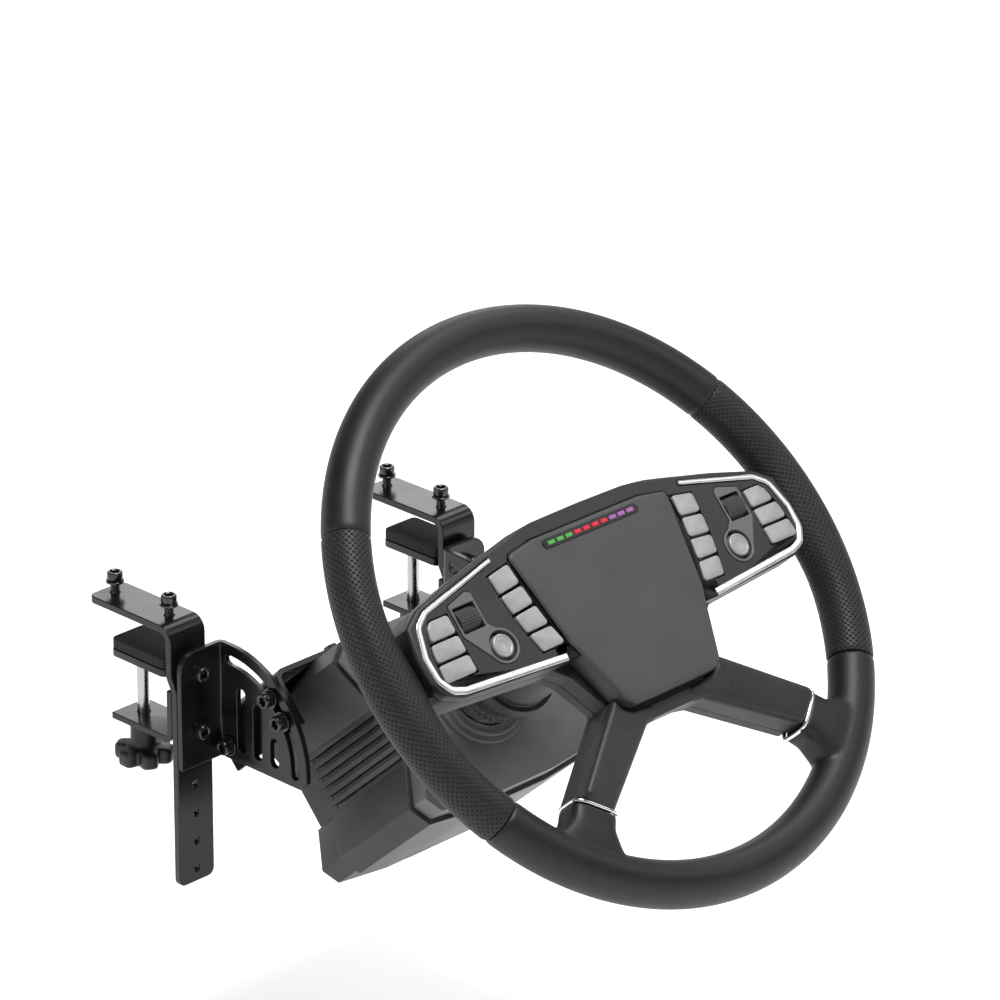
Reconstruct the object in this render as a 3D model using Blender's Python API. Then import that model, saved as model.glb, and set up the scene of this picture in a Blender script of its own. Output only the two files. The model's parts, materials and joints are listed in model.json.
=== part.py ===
"""Desk-clamped racing wheel: a round wheel with a button crossbar on a direct-drive motor base.

The base hangs in a tilting cradle between two slotted sector brackets, and two screw
clamps hold the brackets to a desk edge. Metres, +Z up, X to the driver's right, Y into
the desk. The origin lies on the desk top's plane at its front edge, between the clamps.
Pieces of the wheel and the base are drawn in the wheel's own frame: u to the right,
v up along the wheel's face, h out of it towards the driver, from the wheel's centre.
"""

import math

import bmesh
import bpy
from mathutils import Matrix, Vector

for old in list(bpy.data.objects):
    bpy.data.objects.remove(old, do_unlink=True)

GAP = 0.0003                    # between solids that touch on the real object
LEFT, RIGHT = -1, 1
SIDES = {"left": LEFT, "right": RIGHT}

# ---- desk clamps
CLAMP_X = 0.1221                # middle of each clamp from the middle of the part
BAR_WIDTH = 0.030
BAR_THICK = 0.005
BAR_REAR = 0.072                # reach of the top plate over the desk
BAR_BOTTOM = -0.1755
BAR_BEND = 0.010                # outer radius of the front bend
BAR_CORNER = 0.005
JOGGLE_TOP = -0.0289
JOGGLE_BOTTOM = -0.0387
TAPPED_RADIUS = 0.0025          # core of an M6 thread
TAPPED_PITCH = 0.020
TAPPED_FIRST = -0.0265
TAPPED_COUNT = 8
SCREW_RADIUS = 0.003
SCREW_CLEAR = 0.0003
HEAD_RADIUS = 0.005
HEAD_HEIGHT = 0.006
WASHER_RADIUS = 0.006
WASHER_THICK = 0.0015
TOP_SCREW_REACH = (0.0121, 0.0628)
TOP_SCREW_STAND = 0.007         # bare shank between the plate and the washer
DESK_THICK = 0.018
JAW_THICK = 0.0052
JAW_PAD_THICK = 0.0073
JAW_FRONT = 0.0015
JAW_REAR = 0.052
JAW_CORNER = 0.004
BRACKET_THICK = 0.0045
BRACKET_LEG = -0.0755           # underside of the bracket's lower leg
SPINDLE_REACH = 0.038
SPINDLE_RADIUS = 0.004
BOSS_RADIUS = 0.009
BOSS_HEIGHT = 0.018
KNOB_RADIUS = 0.0175
KNOB_LOBE = 0.0028
KNOB_LOBES = 6
KNOB_HEIGHT = 0.011

# ---- sector brackets and the tilting cradle
PIVOT_Y = -0.022
PIVOT_Z = -0.081
TILT = math.radians(47.8)       # the wheel's face leans back this far from level
PIVOT_RISE = 0.049              # the pivot lies this far above the wheel's axis
PIVOT_REACH = 0.263             # and this far behind the rim's plane
SECTOR_INNER = 0.099
SECTOR_THICK = 0.004
SLOT_LAND = 0.0105              # of the sector's plate outside the tilt slot's middle line
SECTOR_BOTTOM = -0.091
SECTOR_BEND = 0.005
SECTOR_CORNER = 0.012
ARC_SLOT_RADIUS = 0.0595
SECTOR_RADIUS = ARC_SLOT_RADIUS + SLOT_LAND
SECTOR_TOP = PIVOT_Z + SECTOR_RADIUS
ARC_SLOT_WIDTH = 0.0068
ARC_SLOT_FROM = math.radians(90.0)
ARC_SLOT_TO = math.radians(181.0)
LONG_SLOTS = ((-0.0630, -0.0630), (-0.0475, -0.0450), (-0.0327, -0.0385))
LONG_SLOT_WIDTH = 0.0075
LONG_SLOT_BOTTOM = -0.083
SLOT_SCREW_SPREAD = math.radians(8.0)
CRADLE_THICK = 0.004
CRADLE_TOP = 0.071
CRADLE_SKIRT = 0.033
CRADLE_AHEAD = 0.068            # of the pivot
CRADLE_BEHIND = 0.012
CRADLE_FRONT = PIVOT_REACH - CRADLE_AHEAD
CRADLE_REAR = PIVOT_REACH + CRADLE_BEHIND
CRADLE_BEND = 0.008
MOUNT_SCREW_X = 0.040
MOUNT_SCREW_AHEAD = (0.058, 0.018)
MOUNT_SCREW_DEPTHS = tuple(PIVOT_REACH - ahead for ahead in MOUNT_SCREW_AHEAD)
MOUNT_HEAD_RADIUS = 0.0045
MOUNT_HEAD_HEIGHT = 0.003
NUT_RADIUS = 0.0055
NUT_THICK = 0.005
CLAMP_WASHER_RADIUS = 0.0066

# ---- motor base, (u, v) outlines for the right half, from the top middle clockwise
BASE_AHEAD = 0.100              # of the pivot
BASE_LENGTH = 0.085
BASE_FRONT = PIVOT_REACH - BASE_AHEAD
BASE_REAR = BASE_FRONT + BASE_LENGTH
FRONT_COVER_DEPTH = 0.015
REAR_COVER_DEPTH = 0.026
BASE_TOP = ((0.0, 0.0667), (0.066, 0.0667), (0.0795, 0.0565), (0.0675, 0.020))
BASE_FOOT = ((0.0665, -0.0195), (0.081, -0.048), (0.072, -0.062), (0.030, -0.066), (0.0, -0.066))
FIN_TIP = 0.0675
FIN_ROOT = 0.0615
FIN_PITCH = 0.0065
GROOVE_FIRST = 0.01475
GROOVE_COUNT = 6
GROOVE_HALF = 0.00155
COVER_STEP = 0.003              # the covers stand back from the housing's outline
STATOR_RADIUS = 0.0520
STATOR_BORE = 0.0340
STATOR_TOOTH = 0.008
STATOR_TEETH = 12
STATOR_LENGTH = 0.056
ROTOR_GAP = 0.0006
SHAFT_RADIUS = 0.010
SHAFT_CLEAR = 0.0003
SHAFT_STUB = 0.012              # of the shaft behind the housing
SHAFT_REAR = BASE_REAR + SHAFT_STUB
COLLAR_RADIUS = 0.0346
COLLAR_LIP_RADIUS = 0.031
COLLAR_HEIGHT = 0.007
COLLAR_RECESS_RADIUS = 0.0243
COLLAR_RECESS_DEPTH = 0.004
BOARD_THICK = 0.002
BOARD_HALF_WIDTH = 0.048
BOARD_TOP = -0.015
BOARD_BOTTOM = -0.044
SOCKETS = ((-0.030, 0.006), (-0.008, 0.0045), (0.012, 0.0045), (0.032, 0.0065))
SOCKET_HALF_HEIGHT = 0.0040

# ---- quick release between the shaft and the wheel
SPIGOT_RADIUS = 0.015
SPIGOT_LENGTH = 0.015
SHAFT_FLANGE_STAND = 0.0185     # of the flange's back before the housing
SHAFT_FLANGE_THICK = 0.0115
SHAFT_FLANGE_BACK = BASE_FRONT - SHAFT_FLANGE_STAND
SHAFT_FLANGE_FRONT = SHAFT_FLANGE_BACK - SHAFT_FLANGE_THICK
SPIGOT_FRONT = SHAFT_FLANGE_FRONT - SPIGOT_LENGTH
SHAFT_FLANGE_RADIUS = 0.0237
ADAPTER_RADIUS = 0.027
ADAPTER_FLANGE_RADIUS = 0.031
ADAPTER_FLANGE_STAND = 0.021    # of the adapter's flange before the shaft's
ADAPTER_FLANGE_THICK = 0.008
ADAPTER_FLANGE_BACK = SHAFT_FLANGE_FRONT - ADAPTER_FLANGE_STAND
ADAPTER_FLANGE_FRONT = ADAPTER_FLANGE_BACK - ADAPTER_FLANGE_THICK
ADAPTER_BARREL_RADIUS = 0.020
LOCK_RING_RADIUS = 0.027
LOCK_RING_STAND = 0.002
LOCK_RING_LENGTH = 0.015
LOCK_RING_BACK = SHAFT_FLANGE_FRONT - LOCK_RING_STAND
LOCK_RING_FRONT = LOCK_RING_BACK - LOCK_RING_LENGTH
TURNED_STEPS = 24

# ---- wheel rim and cast frame
RIM_RADIUS = 0.185


def sized(points):
    """Points of the wheel's face, given as shares of the rim's radius, in metres."""
    return tuple(tuple(share * RIM_RADIUS for share in point) for point in points)


RIM_TUBE = 0.015
RIM_BORE = 0.0065
RING_TUBE = 0.006
GRIP_HALF_ANGLE = math.radians(31.0)
SEAM_HALF_ANGLE = math.radians(0.06)
GRIP_STEPS = 8
ARC_STEPS = 15
TUBE_SIDES = 12
RING_SIDES = 8
FRAME_HALF_THICK = 0.006
BACK_COVER_THICK = 0.010
BODY_HALF = sized((
    (0, 0.32432), (0.21622, 0.32162), (0.33514, 0.31081), (0.62162, 0.25135), (0.81081, 0.2027),
    (0.88108, 0.15676), (0.9027, 0.05405), (0.9, -0.03243), (0.86486, -0.09189), (0.8, -0.12162),
    (0.37838, -0.14865), (0.32432, -0.19459), (0.25405, -0.32162), (0.56216, -0.56216), (0.47027, -0.65405),
    (0.14054, -0.43514), (0.08649, -0.42595), (0, -0.42595),
))
SIDE_ARM_HALF_WIDTH = 0.013
LOWER_ARM_HALF_WIDTH = 0.010
LOWER_ARM_ANGLE = math.radians(-50.0)
ARM_HALF_THICK = 0.005
SHOULDER_SIDES = 12
SHOULDERS = sized((             # reach from the wheel's centre, half width and half height
    (0.80811, 0.08378, 0.06757), (0.85946, 0.08649, 0.06919), (0.90811, 0.11622, 0.07135),
    (0.94324, 0.14595, 0.07027),
))

# ---- front of the wheel
FACE_HEIGHT = 0.0190            # of the crossbar's face beside the pad
(FACE_BREAK, SHELL_FOOT), = sized([(0.38919, -0.14865)])   # the face slopes back from its break outwards
FACE_SLOPE = 0.045
PAD_HEIGHT = 0.0207
PAD_BEVEL = 0.0010
PAD_HALF = sized((
    (0, 0.26757), (0.25946, 0.26757), (0.37027, 0.24973), (0.38108, 0.23514), (0.32162, -0.0973),
    (0.30378, -0.14054), (0.22973, -0.34054), (0.19459, -0.36649), (0, -0.37405),
))
PAD_SEAM = 0.0006
(LIGHT_HALF_LENGTH, LIGHT_RISE), = sized([(0.22703, 0.23243)])
LIGHT_HALF_WIDTH = 0.0032
LIGHT_DEPTH = 0.0035
COLUMN_INNER = sized((
    (0.39027, 0.22973), (0.38162, 0.14595), (0.37081, 0.06757), (0.35459, -0.01405), (0.33081, -0.09189),
))
COLUMN_OUTER = sized((
    (0.49622, 0.21243), (0.48973, 0.13514), (0.47946, 0.05784), (0.46378, -0.01514), (0.44054, -0.09351),
))
OUTER_CELLS = (
    sized(((0.70811, 0.15297), (0.79189, 0.15297), (0.81514, 0.13243), (0.83297, 0.07838), (0.70811, 0.07838))),
    sized(((0.70811, 0.07838), (0.83297, 0.07838), (0.84108, 0.05135), (0.84649, 0.00811), (0.70811, 0.00811))),
    sized((
        (0.70811, 0.00811), (0.84649, 0.00811), (0.85297, -0.04865), (0.84054, -0.06378), (0.70811, -0.06378),
    )),
)
OUTER_WELL = sized((
    (0.70811, 0.15297), (0.79189, 0.15297), (0.81514, 0.13243), (0.83297, 0.07838), (0.84108, 0.05135),
    (0.84649, 0.00811), (0.85297, -0.04865), (0.84054, -0.06378), (0.70811, -0.06378),
))
BUTTON_BASE_GAP = 0.00035
BUTTON_CAP_GAP = 0.0009
BUTTON_CORNER = 0.0014
BUTTON_TRAVEL = 0.0012
BUTTON_BASE_HEIGHT = 0.004
BUTTON_PROUD = 0.0008
BUTTON_EDGE = 0.0005
BEZEL_PROUD = 0.0006
WINDOW_U, WINDOW_V = sized(((0.59459, 0.68649), (0.06486, 0.15676)))
ROLLER_CLEAR = 0.0004
ROLLER_RADIUS = (WINDOW_V[1] - WINDOW_V[0]) / 2 - ROLLER_CLEAR
ROLLER_HEIGHT = 0.0110          # of its axis over the rim's plane
BEZEL_SIDE = 0.0018             # of the bezel outside its window
BEZEL_SHOULDER = 0.0025
BEZEL_PEAK = 0.007
BEZEL_PEAK_IN = 0.002
BEZEL_NECK = 0.005
BEZEL_WAIST = 0.001
BEZEL_FOOT = 0.0015
(DIAL_U, DIAL_V), = sized([(0.57027, -0.01622)])
DIAL_WALL = 0.0117
DIAL_WELL = 0.0099
DIAL_RADIUS = 0.0076
DIAL_FLANGE = 0.0095
DIAL_FLANGE_TALL = 0.0025
DIAL_NECK = 0.0028
DIAL_EDGE = 0.001
DIAL_EDGE_TALL = 0.0008
DIAL_TOP = 0.0184
DIAL_FLOOR = 0.0083
TRIM_WIDTH = 0.0035
TRIM_DEPTH = 0.004
TRIM_PROUD = 0.0005
TRIM_PATH = sized((
    (0.45405, 0.25676), (0.78919, 0.18108), (0.84054, 0.14595), (0.87297, 0.04324), (0.87027, -0.03784),
    (0.84324, -0.08378), (0.78919, -0.1027), (0.35946, -0.13514),
))
SPOKE_TOP = 0.0173              # of the spoke cover's face at its outer upper corner
SPOKE_SLOPE = 0.13
SPOKE_FACE_FROM, = sized([(0.55946, -0.56757)])
SPOKE_COVER = sized((
    (0.24486, -0.31622), (0.56486, -0.56486), (0.46757, -0.65568), (0.14054, -0.43622),
    (0.07568, -0.42703), (0.07568, -0.38), (0.19459, -0.37189), (0.23297, -0.34595),
))
BRIDGE_HALF_WIDTH = 0.020
BRIDGE_TOP = 0.0096


def mirrored(half):
    """The whole outline of a half outline that starts and ends on the middle line."""
    return [tuple(point) for point in half] + [(-x, y) for x, y in reversed(half[1:-1])]


def sided(outline, side):
    """The outline on the given side of the middle line."""
    return [(side * x, y) for x, y in outline]


def rounded(points, radius, steps=3, closed=True):
    """The corners of a polygon or of an open line, each turned into an arc of steps chords."""
    result = []
    count = len(points)
    for index, point in enumerate(points):
        if not closed and index in (0, count - 1):
            result.append(tuple(point))
            continue
        here = Vector(point)
        back = Vector(points[index - 1]) - here
        ahead = Vector(points[(index + 1) % count]) - here
        half = back.angle(ahead) / 2
        reach = min(radius / math.tan(half), 0.48 * back.length, 0.48 * ahead.length)
        bend = reach * math.tan(half)
        centre = here + (back.normalized() + ahead.normalized()).normalized() * bend / math.sin(half)
        first = here + back.normalized() * reach - centre
        last = here + ahead.normalized() * reach - centre
        start = math.atan2(first.y, first.x)
        turn = math.atan2(last.y, last.x) - start
        turn -= 2 * math.pi * round(turn / (2 * math.pi))
        for step in range(steps + 1):
            angle = start + turn * step / steps
            result.append((centre.x + bend * math.cos(angle), centre.y + bend * math.sin(angle)))
    return result


def shifted(points, amount, closed=True):
    """A polygon or an open line moved sideways, each corner along its mitre, to its left if amount > 0."""
    result = []
    count = len(points)
    for index, point in enumerate(points):
        here = Vector(point)
        back = here - Vector(points[index - 1])
        ahead = Vector(points[(index + 1) % count]) - here
        if not closed and index == 0:
            back = ahead
        if not closed and index == count - 1:
            ahead = back
        one = Vector((-back.y, back.x)).normalized()
        two = Vector((-ahead.y, ahead.x)).normalized()
        mitre = (one + two) / (1 + one.dot(two))
        result.append((here.x + amount * mitre.x, here.y + amount * mitre.y))
    return result


def area(outline):
    """The signed area of a polygon, above zero if it runs anticlockwise."""
    return sum(a[0] * b[1] - b[0] * a[1] for a, b in zip(outline, outline[1:] + outline[:1])) / 2


def grown(outline, amount):
    """The polygon moved outwards all round by amount, or inwards if it is below zero."""
    outline = [tuple(point) for point in outline]
    return shifted(outline, -amount if area(outline) > 0 else amount)


def strip(path, thick):
    """The outline of a strip of even thickness along an open line."""
    return shifted(path, thick / 2, False) + shifted(path, -thick / 2, False)[::-1]


def arc(centre, radius, start, end, steps):
    """Points along a circle's arc."""
    angles = [start + (end - start) * step / steps for step in range(steps + 1)]
    return [(centre[0] + radius * math.cos(a), centre[1] + radius * math.sin(a)) for a in angles]


def box(low_a, high_a, low_b, high_b):
    """A rectangle's outline."""
    return [(low_a, low_b), (high_a, low_b), (high_a, high_b), (low_a, high_b)]


def laid(plane, a, b, c):
    """A point with a and b in the named plane and c along the axis square to it."""
    return {"xy": (a, b, c), "xz": (a, c, b), "yz": (c, a, b)}[plane]


def prism(outline, low, high, plane="xy"):
    """An outline carried along the axis square to its plane; an end may slope, as a function of a and b."""
    ends = []
    for end in (low, high):
        level = end if callable(end) else (lambda a, b, value=end: value)
        ends.append([laid(plane, a, b, level(a, b)) for a, b in outline])
    return ends, False


def turned(profile, centre=(0.0, 0.0), plane="xy", steps=TURNED_STEPS, ring=False):
    """Circles of (radius, height) round an axis square to the plane; with ring the last meets the first."""
    rings = []
    for radius, height in profile:
        circle = arc(centre, radius, 0.0, 2 * math.pi * (1 - 1 / steps), steps - 1)
        rings.append([laid(plane, a, b, height) for a, b in circle])
    return rings, ring


def hollow_arc(stations, radius, outer, inner, sides):
    """A hollow tube bent round the wheel's axis: each long line runs out along it and back in its bore."""
    rings = []
    for side in range(sides):
        angle = 2 * math.pi * (side + 0.5) / sides
        line = []
        for tube, order in ((outer, stations), (inner, stations[::-1])):
            reach = radius + tube * math.cos(angle)
            line += [(reach * math.cos(t), reach * math.sin(t), tube * math.sin(angle)) for t in order]
        rings.append(line)
    return rings, True


def hoop(stations, radius, tube, sides):
    """A closed round ring of round section."""
    rings = []
    for t in stations:
        ring = []
        for side in range(sides):
            angle = 2 * math.pi * (side + 0.5) / sides
            reach = radius + tube * math.cos(angle)
            ring.append((reach * math.cos(t), reach * math.sin(t), tube * math.sin(angle)))
        rings.append(ring)
    return rings, True


def fill(mesh, shape):
    """Skin a shape's rings, one to the next, and close its ends."""
    rings, closed = shape
    rows = [[mesh.verts.new(point) for point in ring] for ring in rings]
    pairs = list(zip(rows, rows[1:]))
    if closed:
        pairs.append((rows[-1], rows[0]))
    else:
        mesh.faces.new(rows[0][::-1])
        mesh.faces.new(rows[-1])
    for low, high in pairs:
        for index in range(len(low)):
            after = (index + 1) % len(low)
            mesh.faces.new((low[index], low[after], high[after], high[index]))


def add_object(name, shapes, parent, place):
    """An object of closed shapes, with every face pointing out."""
    mesh = bmesh.new()
    for shape in shapes:
        fill(mesh, shape)
    bmesh.ops.recalc_face_normals(mesh, faces=mesh.faces)
    data = bpy.data.meshes.new(name)
    mesh.to_mesh(data)
    mesh.free()
    made = bpy.data.objects.new(name, data)
    bpy.context.scene.collection.objects.link(made)
    made.parent = parent
    made.location = place
    return made


def node(name, shape, finish, parent=None, place=(0, 0, 0), fused=(), cuts=()):
    """One sub-part: a shape with others fused to it and others cut from it, in its own material."""
    made = add_object(name, [shape], parent, place)
    for label, operation, shapes in (("fused", "UNION", fused), ("cut", "DIFFERENCE", cuts)):
        if not shapes:
            continue
        tool = add_object(f"{name}_{label}", shapes, parent, place)
        tool.hide_render = True
        tool.display_type = "WIRE"
        step = made.modifiers.new(label, "BOOLEAN")
        step.operation = operation
        step.object = tool
        step.solver = "EXACT"
        step.use_self = True
    made.data.shade_smooth()
    made.data.set_sharp_from_angle(angle=math.radians(32))
    colour, roughness, metallic = finish
    material = bpy.data.materials.new(name)
    material.use_nodes = True
    surface = material.node_tree.nodes["Principled BSDF"]
    surface.inputs["Base Color"].default_value = (*colour, 1.0)
    surface.inputs["Roughness"].default_value = roughness
    surface.inputs["Metallic"].default_value = metallic
    made.data.materials.append(material)
    return made


def empty(name, place, turn=0.0, parent=None):
    """A frame to hang pieces from, turned about X."""
    made = bpy.data.objects.new(name, None)
    bpy.context.scene.collection.objects.link(made)
    made.location = place
    made.rotation_euler = (turn, 0, 0)
    made.parent = parent
    return made


BLACK_STEEL = ((0.012, 0.012, 0.013), 0.30, 0.6)
SCREW_STEEL = ((0.02, 0.02, 0.022), 0.28, 0.9)
BRIGHT_STEEL = ((0.55, 0.55, 0.56), 0.25, 1.0)
BLACK_RUBBER = ((0.015, 0.015, 0.015), 0.85, 0.0)
DARK_ALUMINIUM = ((0.045, 0.046, 0.048), 0.45, 0.7)
GREY_ALUMINIUM = ((0.16, 0.16, 0.165), 0.40, 0.8)
CAST_ALUMINIUM = ((0.30, 0.30, 0.31), 0.50, 0.9)
COPPER = ((0.45, 0.22, 0.12), 0.40, 0.8)
BOARD_GREEN = ((0.02, 0.10, 0.04), 0.50, 0.0)
LEATHER = ((0.016, 0.016, 0.017), 0.55, 0.0)
PANEL_GREY = ((0.075, 0.076, 0.080), 0.50, 0.2)
PLASTIC_BLACK = ((0.018, 0.018, 0.019), 0.45, 0.0)
BUTTON_GREY = ((0.36, 0.37, 0.39), 0.40, 0.3)
CHROME = ((0.75, 0.75, 0.76), 0.18, 1.0)
SMOKED_LENS = ((0.05, 0.05, 0.055), 0.25, 0.0)

tilt_axis = empty("tilt_axis", (0, PIVOT_Y, PIVOT_Z), TILT)
BASE_PLACE = (0, -PIVOT_RISE, PIVOT_REACH)
wheel_axis = empty("wheel_axis", BASE_PLACE, 0.0, tilt_axis)

# ======== desk clamps: a bent bar over the desk edge and a screw jaw under it
BAR_INNER = -BAR_THICK
LOWER_FRONT = -2 * BAR_THICK
BAR_PATH = rounded(
    [(BAR_REAR, BAR_THICK / 2), (-BAR_THICK / 2, BAR_THICK / 2), (-BAR_THICK / 2, JOGGLE_TOP)],
    BAR_BEND - BAR_THICK / 2, 5, False,
) + [(-1.5 * BAR_THICK, JOGGLE_BOTTOM), (-1.5 * BAR_THICK, BAR_BOTTOM)]
SCREW_LEVELS = (TAPPED_FIRST, TAPPED_FIRST - 2 * TAPPED_PITCH)
SCREW_HOLE = SCREW_RADIUS + SCREW_CLEAR
WALL_FRONT = -BAR_THICK + GAP
WALL_BACK = WALL_FRONT + BRACKET_THICK
LEG_TOP = BRACKET_LEG + BRACKET_THICK
JAW_TOP = -DESK_THICK - JAW_PAD_THICK - GAP
JAW_BOTTOM = JAW_TOP - JAW_THICK


def hole(radius, centre, low, high, plane, steps=12):
    """A round cutter from one height to another."""
    return turned(((radius, low), (radius, high)), centre, plane, steps)


def rounding(x_side, low, high, radius, end, along):
    """A cutter that rounds the two corners at the end of a flat strip, seen in (x, along)."""
    inner = end - along * radius
    shapes = []
    for edge in (-1, 1):
        corner = x_side + edge * BAR_WIDTH / 2
        middle = (corner - edge * radius, inner)
        first = math.atan2(0, edge)
        last = math.atan2(along, 0)
        if last - first > math.pi:
            first += 2 * math.pi
        if first - last > math.pi:
            last += 2 * math.pi
        curve = arc(middle, radius, first, last, 4)
        out = 0.002
        outline = curve + [(middle[0], end + along * out), (corner + edge * out, end + along * out),
                           (corner + edge * out, inner)]
        shapes.append((outline, low, high))
    return shapes


for word, side in SIDES.items():
    centre_x = side * CLAMP_X
    span = (centre_x - BAR_WIDTH / 2, centre_x + BAR_WIDTH / 2)
    holes = []
    for index in range(TAPPED_COUNT):
        level = TAPPED_FIRST - index * TAPPED_PITCH
        size = SCREW_HOLE if level in SCREW_LEVELS else TAPPED_RADIUS
        holes.append(hole(size, (centre_x, level), -3 * BAR_THICK, BAR_THICK, "xz", 10))
    for reach in TOP_SCREW_REACH:
        holes.append(hole(SCREW_HOLE, (centre_x, reach), -BAR_THICK, 2 * BAR_THICK, "xy"))
    for outline, low, high in rounding(centre_x, -BAR_THICK, 2 * BAR_THICK, BAR_CORNER, BAR_REAR, 1):
        holes.append(prism(outline, low, high, "xy"))
    for outline, low, high in rounding(centre_x, -3 * BAR_THICK, BAR_THICK, BAR_CORNER, BAR_BOTTOM, -1):
        holes.append(prism(outline, low, high, "xz"))
    node(f"hook_bar_{word}", prism(strip(BAR_PATH, BAR_THICK), *span, "yz"), BLACK_STEEL, cuts=holes)

    for place, reach in zip(("front", "rear"), TOP_SCREW_REACH):
        washer = BAR_THICK + TOP_SCREW_STAND
        seat = washer + WASHER_THICK
        top = seat + HEAD_HEIGHT
        profile = (
            (SCREW_RADIUS, GAP), (SCREW_RADIUS, washer), (WASHER_RADIUS, washer),
            (WASHER_RADIUS, seat), (HEAD_RADIUS, seat), (HEAD_RADIUS, top),
        )
        node(f"top_screw_{word}_{place}", turned(profile, (centre_x, reach), steps=12), SCREW_STEEL)

    wall = WALL_FRONT + BRACKET_THICK / 2
    leg = BRACKET_LEG + BRACKET_THICK / 2
    path = rounded([(wall, JOGGLE_BOTTOM), (wall, leg), (JAW_REAR, leg)], BRACKET_THICK, 3, False)
    holes = [
        hole(
            SPINDLE_RADIUS + GAP, (centre_x, SPINDLE_REACH),
            BRACKET_LEG - BRACKET_THICK, LEG_TOP + BRACKET_THICK, "xy",
        ),
        hole(SCREW_HOLE, (centre_x, SCREW_LEVELS[1]), 2 * WALL_FRONT, BRACKET_THICK, "xz"),
    ]
    node(f"jaw_bracket_{word}", prism(strip(path, BRACKET_THICK), *span, "yz"), BLACK_STEEL, cuts=holes)

    jaw_axis = empty(f"jaw_axis_{word}", (centre_x, SPINDLE_REACH, JAW_TOP))
    half = BAR_WIDTH / 2
    outline = rounded(box(-half, half, JAW_FRONT - SPINDLE_REACH, JAW_REAR - SPINDLE_REACH), JAW_CORNER)
    node(f"clamp_jaw_{word}", prism(outline, -JAW_THICK, 0), BLACK_STEEL, jaw_axis)
    node(f"jaw_pad_{word}", prism(grown(outline, -GAP), GAP, JAW_PAD_THICK), BLACK_RUBBER, jaw_axis)
    lobes = [
        KNOB_RADIUS + KNOB_LOBE * math.cos(KNOB_LOBES * 2 * math.pi * step / TURNED_STEPS)
        for step in range(TURNED_STEPS)
    ]
    boss = BRACKET_LEG - GAP - JAW_TOP
    knob = boss - BOSS_HEIGHT
    shape = turned((
        (SPINDLE_RADIUS, -JAW_THICK - GAP), (SPINDLE_RADIUS, boss), (BOSS_RADIUS, boss),
        (BOSS_RADIUS, knob),
    ))
    for level in (knob, knob - KNOB_HEIGHT):
        shape[0].append([
            (lobes[step] * math.cos(2 * math.pi * step / TURNED_STEPS),
             lobes[step] * math.sin(2 * math.pi * step / TURNED_STEPS), level)
            for step in range(TURNED_STEPS)
        ])
    node(f"clamp_spindle_{word}", shape, SCREW_STEEL, jaw_axis)

# ======== sector brackets: a folded plate on each clamp with the tilt slot
PLATE_BACK = LOWER_FRONT - GAP
PLATE_FRONT = PLATE_BACK - SECTOR_THICK
SECTOR_OUTER = SECTOR_INNER + SECTOR_THICK
PIVOT = (PIVOT_Y, PIVOT_Z)
for word, side in SIDES.items():
    centre_x = side * CLAMP_X
    outer = CLAMP_X + BAR_WIDTH / 2
    middle = SECTOR_INNER + SECTOR_THICK / 2
    front = PIVOT_Y - SECTOR_RADIUS
    path = rounded(
        [(side * outer, PLATE_BACK - SECTOR_THICK / 2), (side * middle, PLATE_BACK - SECTOR_THICK / 2),
         (side * middle, front)],
        SECTOR_BEND - SECTOR_THICK / 2, 3, False,
    )
    cut_span = (side * (SECTOR_INNER - SECTOR_THICK), side * (SECTOR_OUTER + SECTOR_THICK))
    margin = 0.006
    rim_cut = arc(PIVOT, SECTOR_RADIUS, math.pi / 2, math.pi, 16) + [
        (front, SECTOR_BOTTOM + margin), (front + margin, SECTOR_BOTTOM), (front + margin, SECTOR_BOTTOM - margin),
        (front - margin, SECTOR_BOTTOM - margin), (front - margin, SECTOR_TOP + margin),
        (PIVOT_Y, SECTOR_TOP + margin),
    ]
    slot = strip(arc(PIVOT, ARC_SLOT_RADIUS, ARC_SLOT_FROM, ARC_SLOT_TO, 14), ARC_SLOT_WIDTH)
    cuts = [prism(rim_cut, *cut_span, "yz"), prism(slot, *cut_span, "yz")]
    for angle in (ARC_SLOT_FROM, ARC_SLOT_TO):
        end = (PIVOT_Y + ARC_SLOT_RADIUS * math.cos(angle), PIVOT_Z + ARC_SLOT_RADIUS * math.sin(angle))
        cuts.append(hole(ARC_SLOT_WIDTH / 2, end, *cut_span, "yz"))
    for along, top in LONG_SLOTS:
        half = LONG_SLOT_WIDTH / 2
        outline = rounded(box(along - half, along + half, LONG_SLOT_BOTTOM, top), half, 4)
        cuts.append(prism(outline, *cut_span, "yz"))
    cuts.append(hole(SCREW_HOLE, PIVOT, *cut_span, "yz"))
    corner = rounded(
        [(side * outer, SECTOR_TOP - 3 * SECTOR_CORNER), (side * outer, SECTOR_TOP),
         (side * (outer - 3 * SECTOR_CORNER), SECTOR_TOP)], SECTOR_CORNER, 5, False,
    )[1:-1] + [(side * (outer - SECTOR_CORNER), SECTOR_TOP + margin), (side * (outer + margin), SECTOR_TOP + margin),
               (side * (outer + margin), SECTOR_TOP - SECTOR_CORNER)]
    cuts.append(prism(corner, 2 * PLATE_FRONT, 0, "xz"))
    screws = []
    head = PLATE_FRONT - HEAD_HEIGHT
    seat = PLATE_FRONT + SECTOR_THICK / 2
    for level in SCREW_LEVELS:
        profile = ((HEAD_RADIUS, head), (HEAD_RADIUS, seat), (SCREW_RADIUS, seat), (SCREW_RADIUS, -GAP))
        screws.append(turned(profile, (centre_x, level), "xz", 12))
    shape = prism(strip(path, SECTOR_THICK), SECTOR_BOTTOM, SECTOR_TOP, "xy")
    node(f"sector_bracket_{word}", shape, BLACK_STEEL, fused=screws, cuts=cuts)

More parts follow.
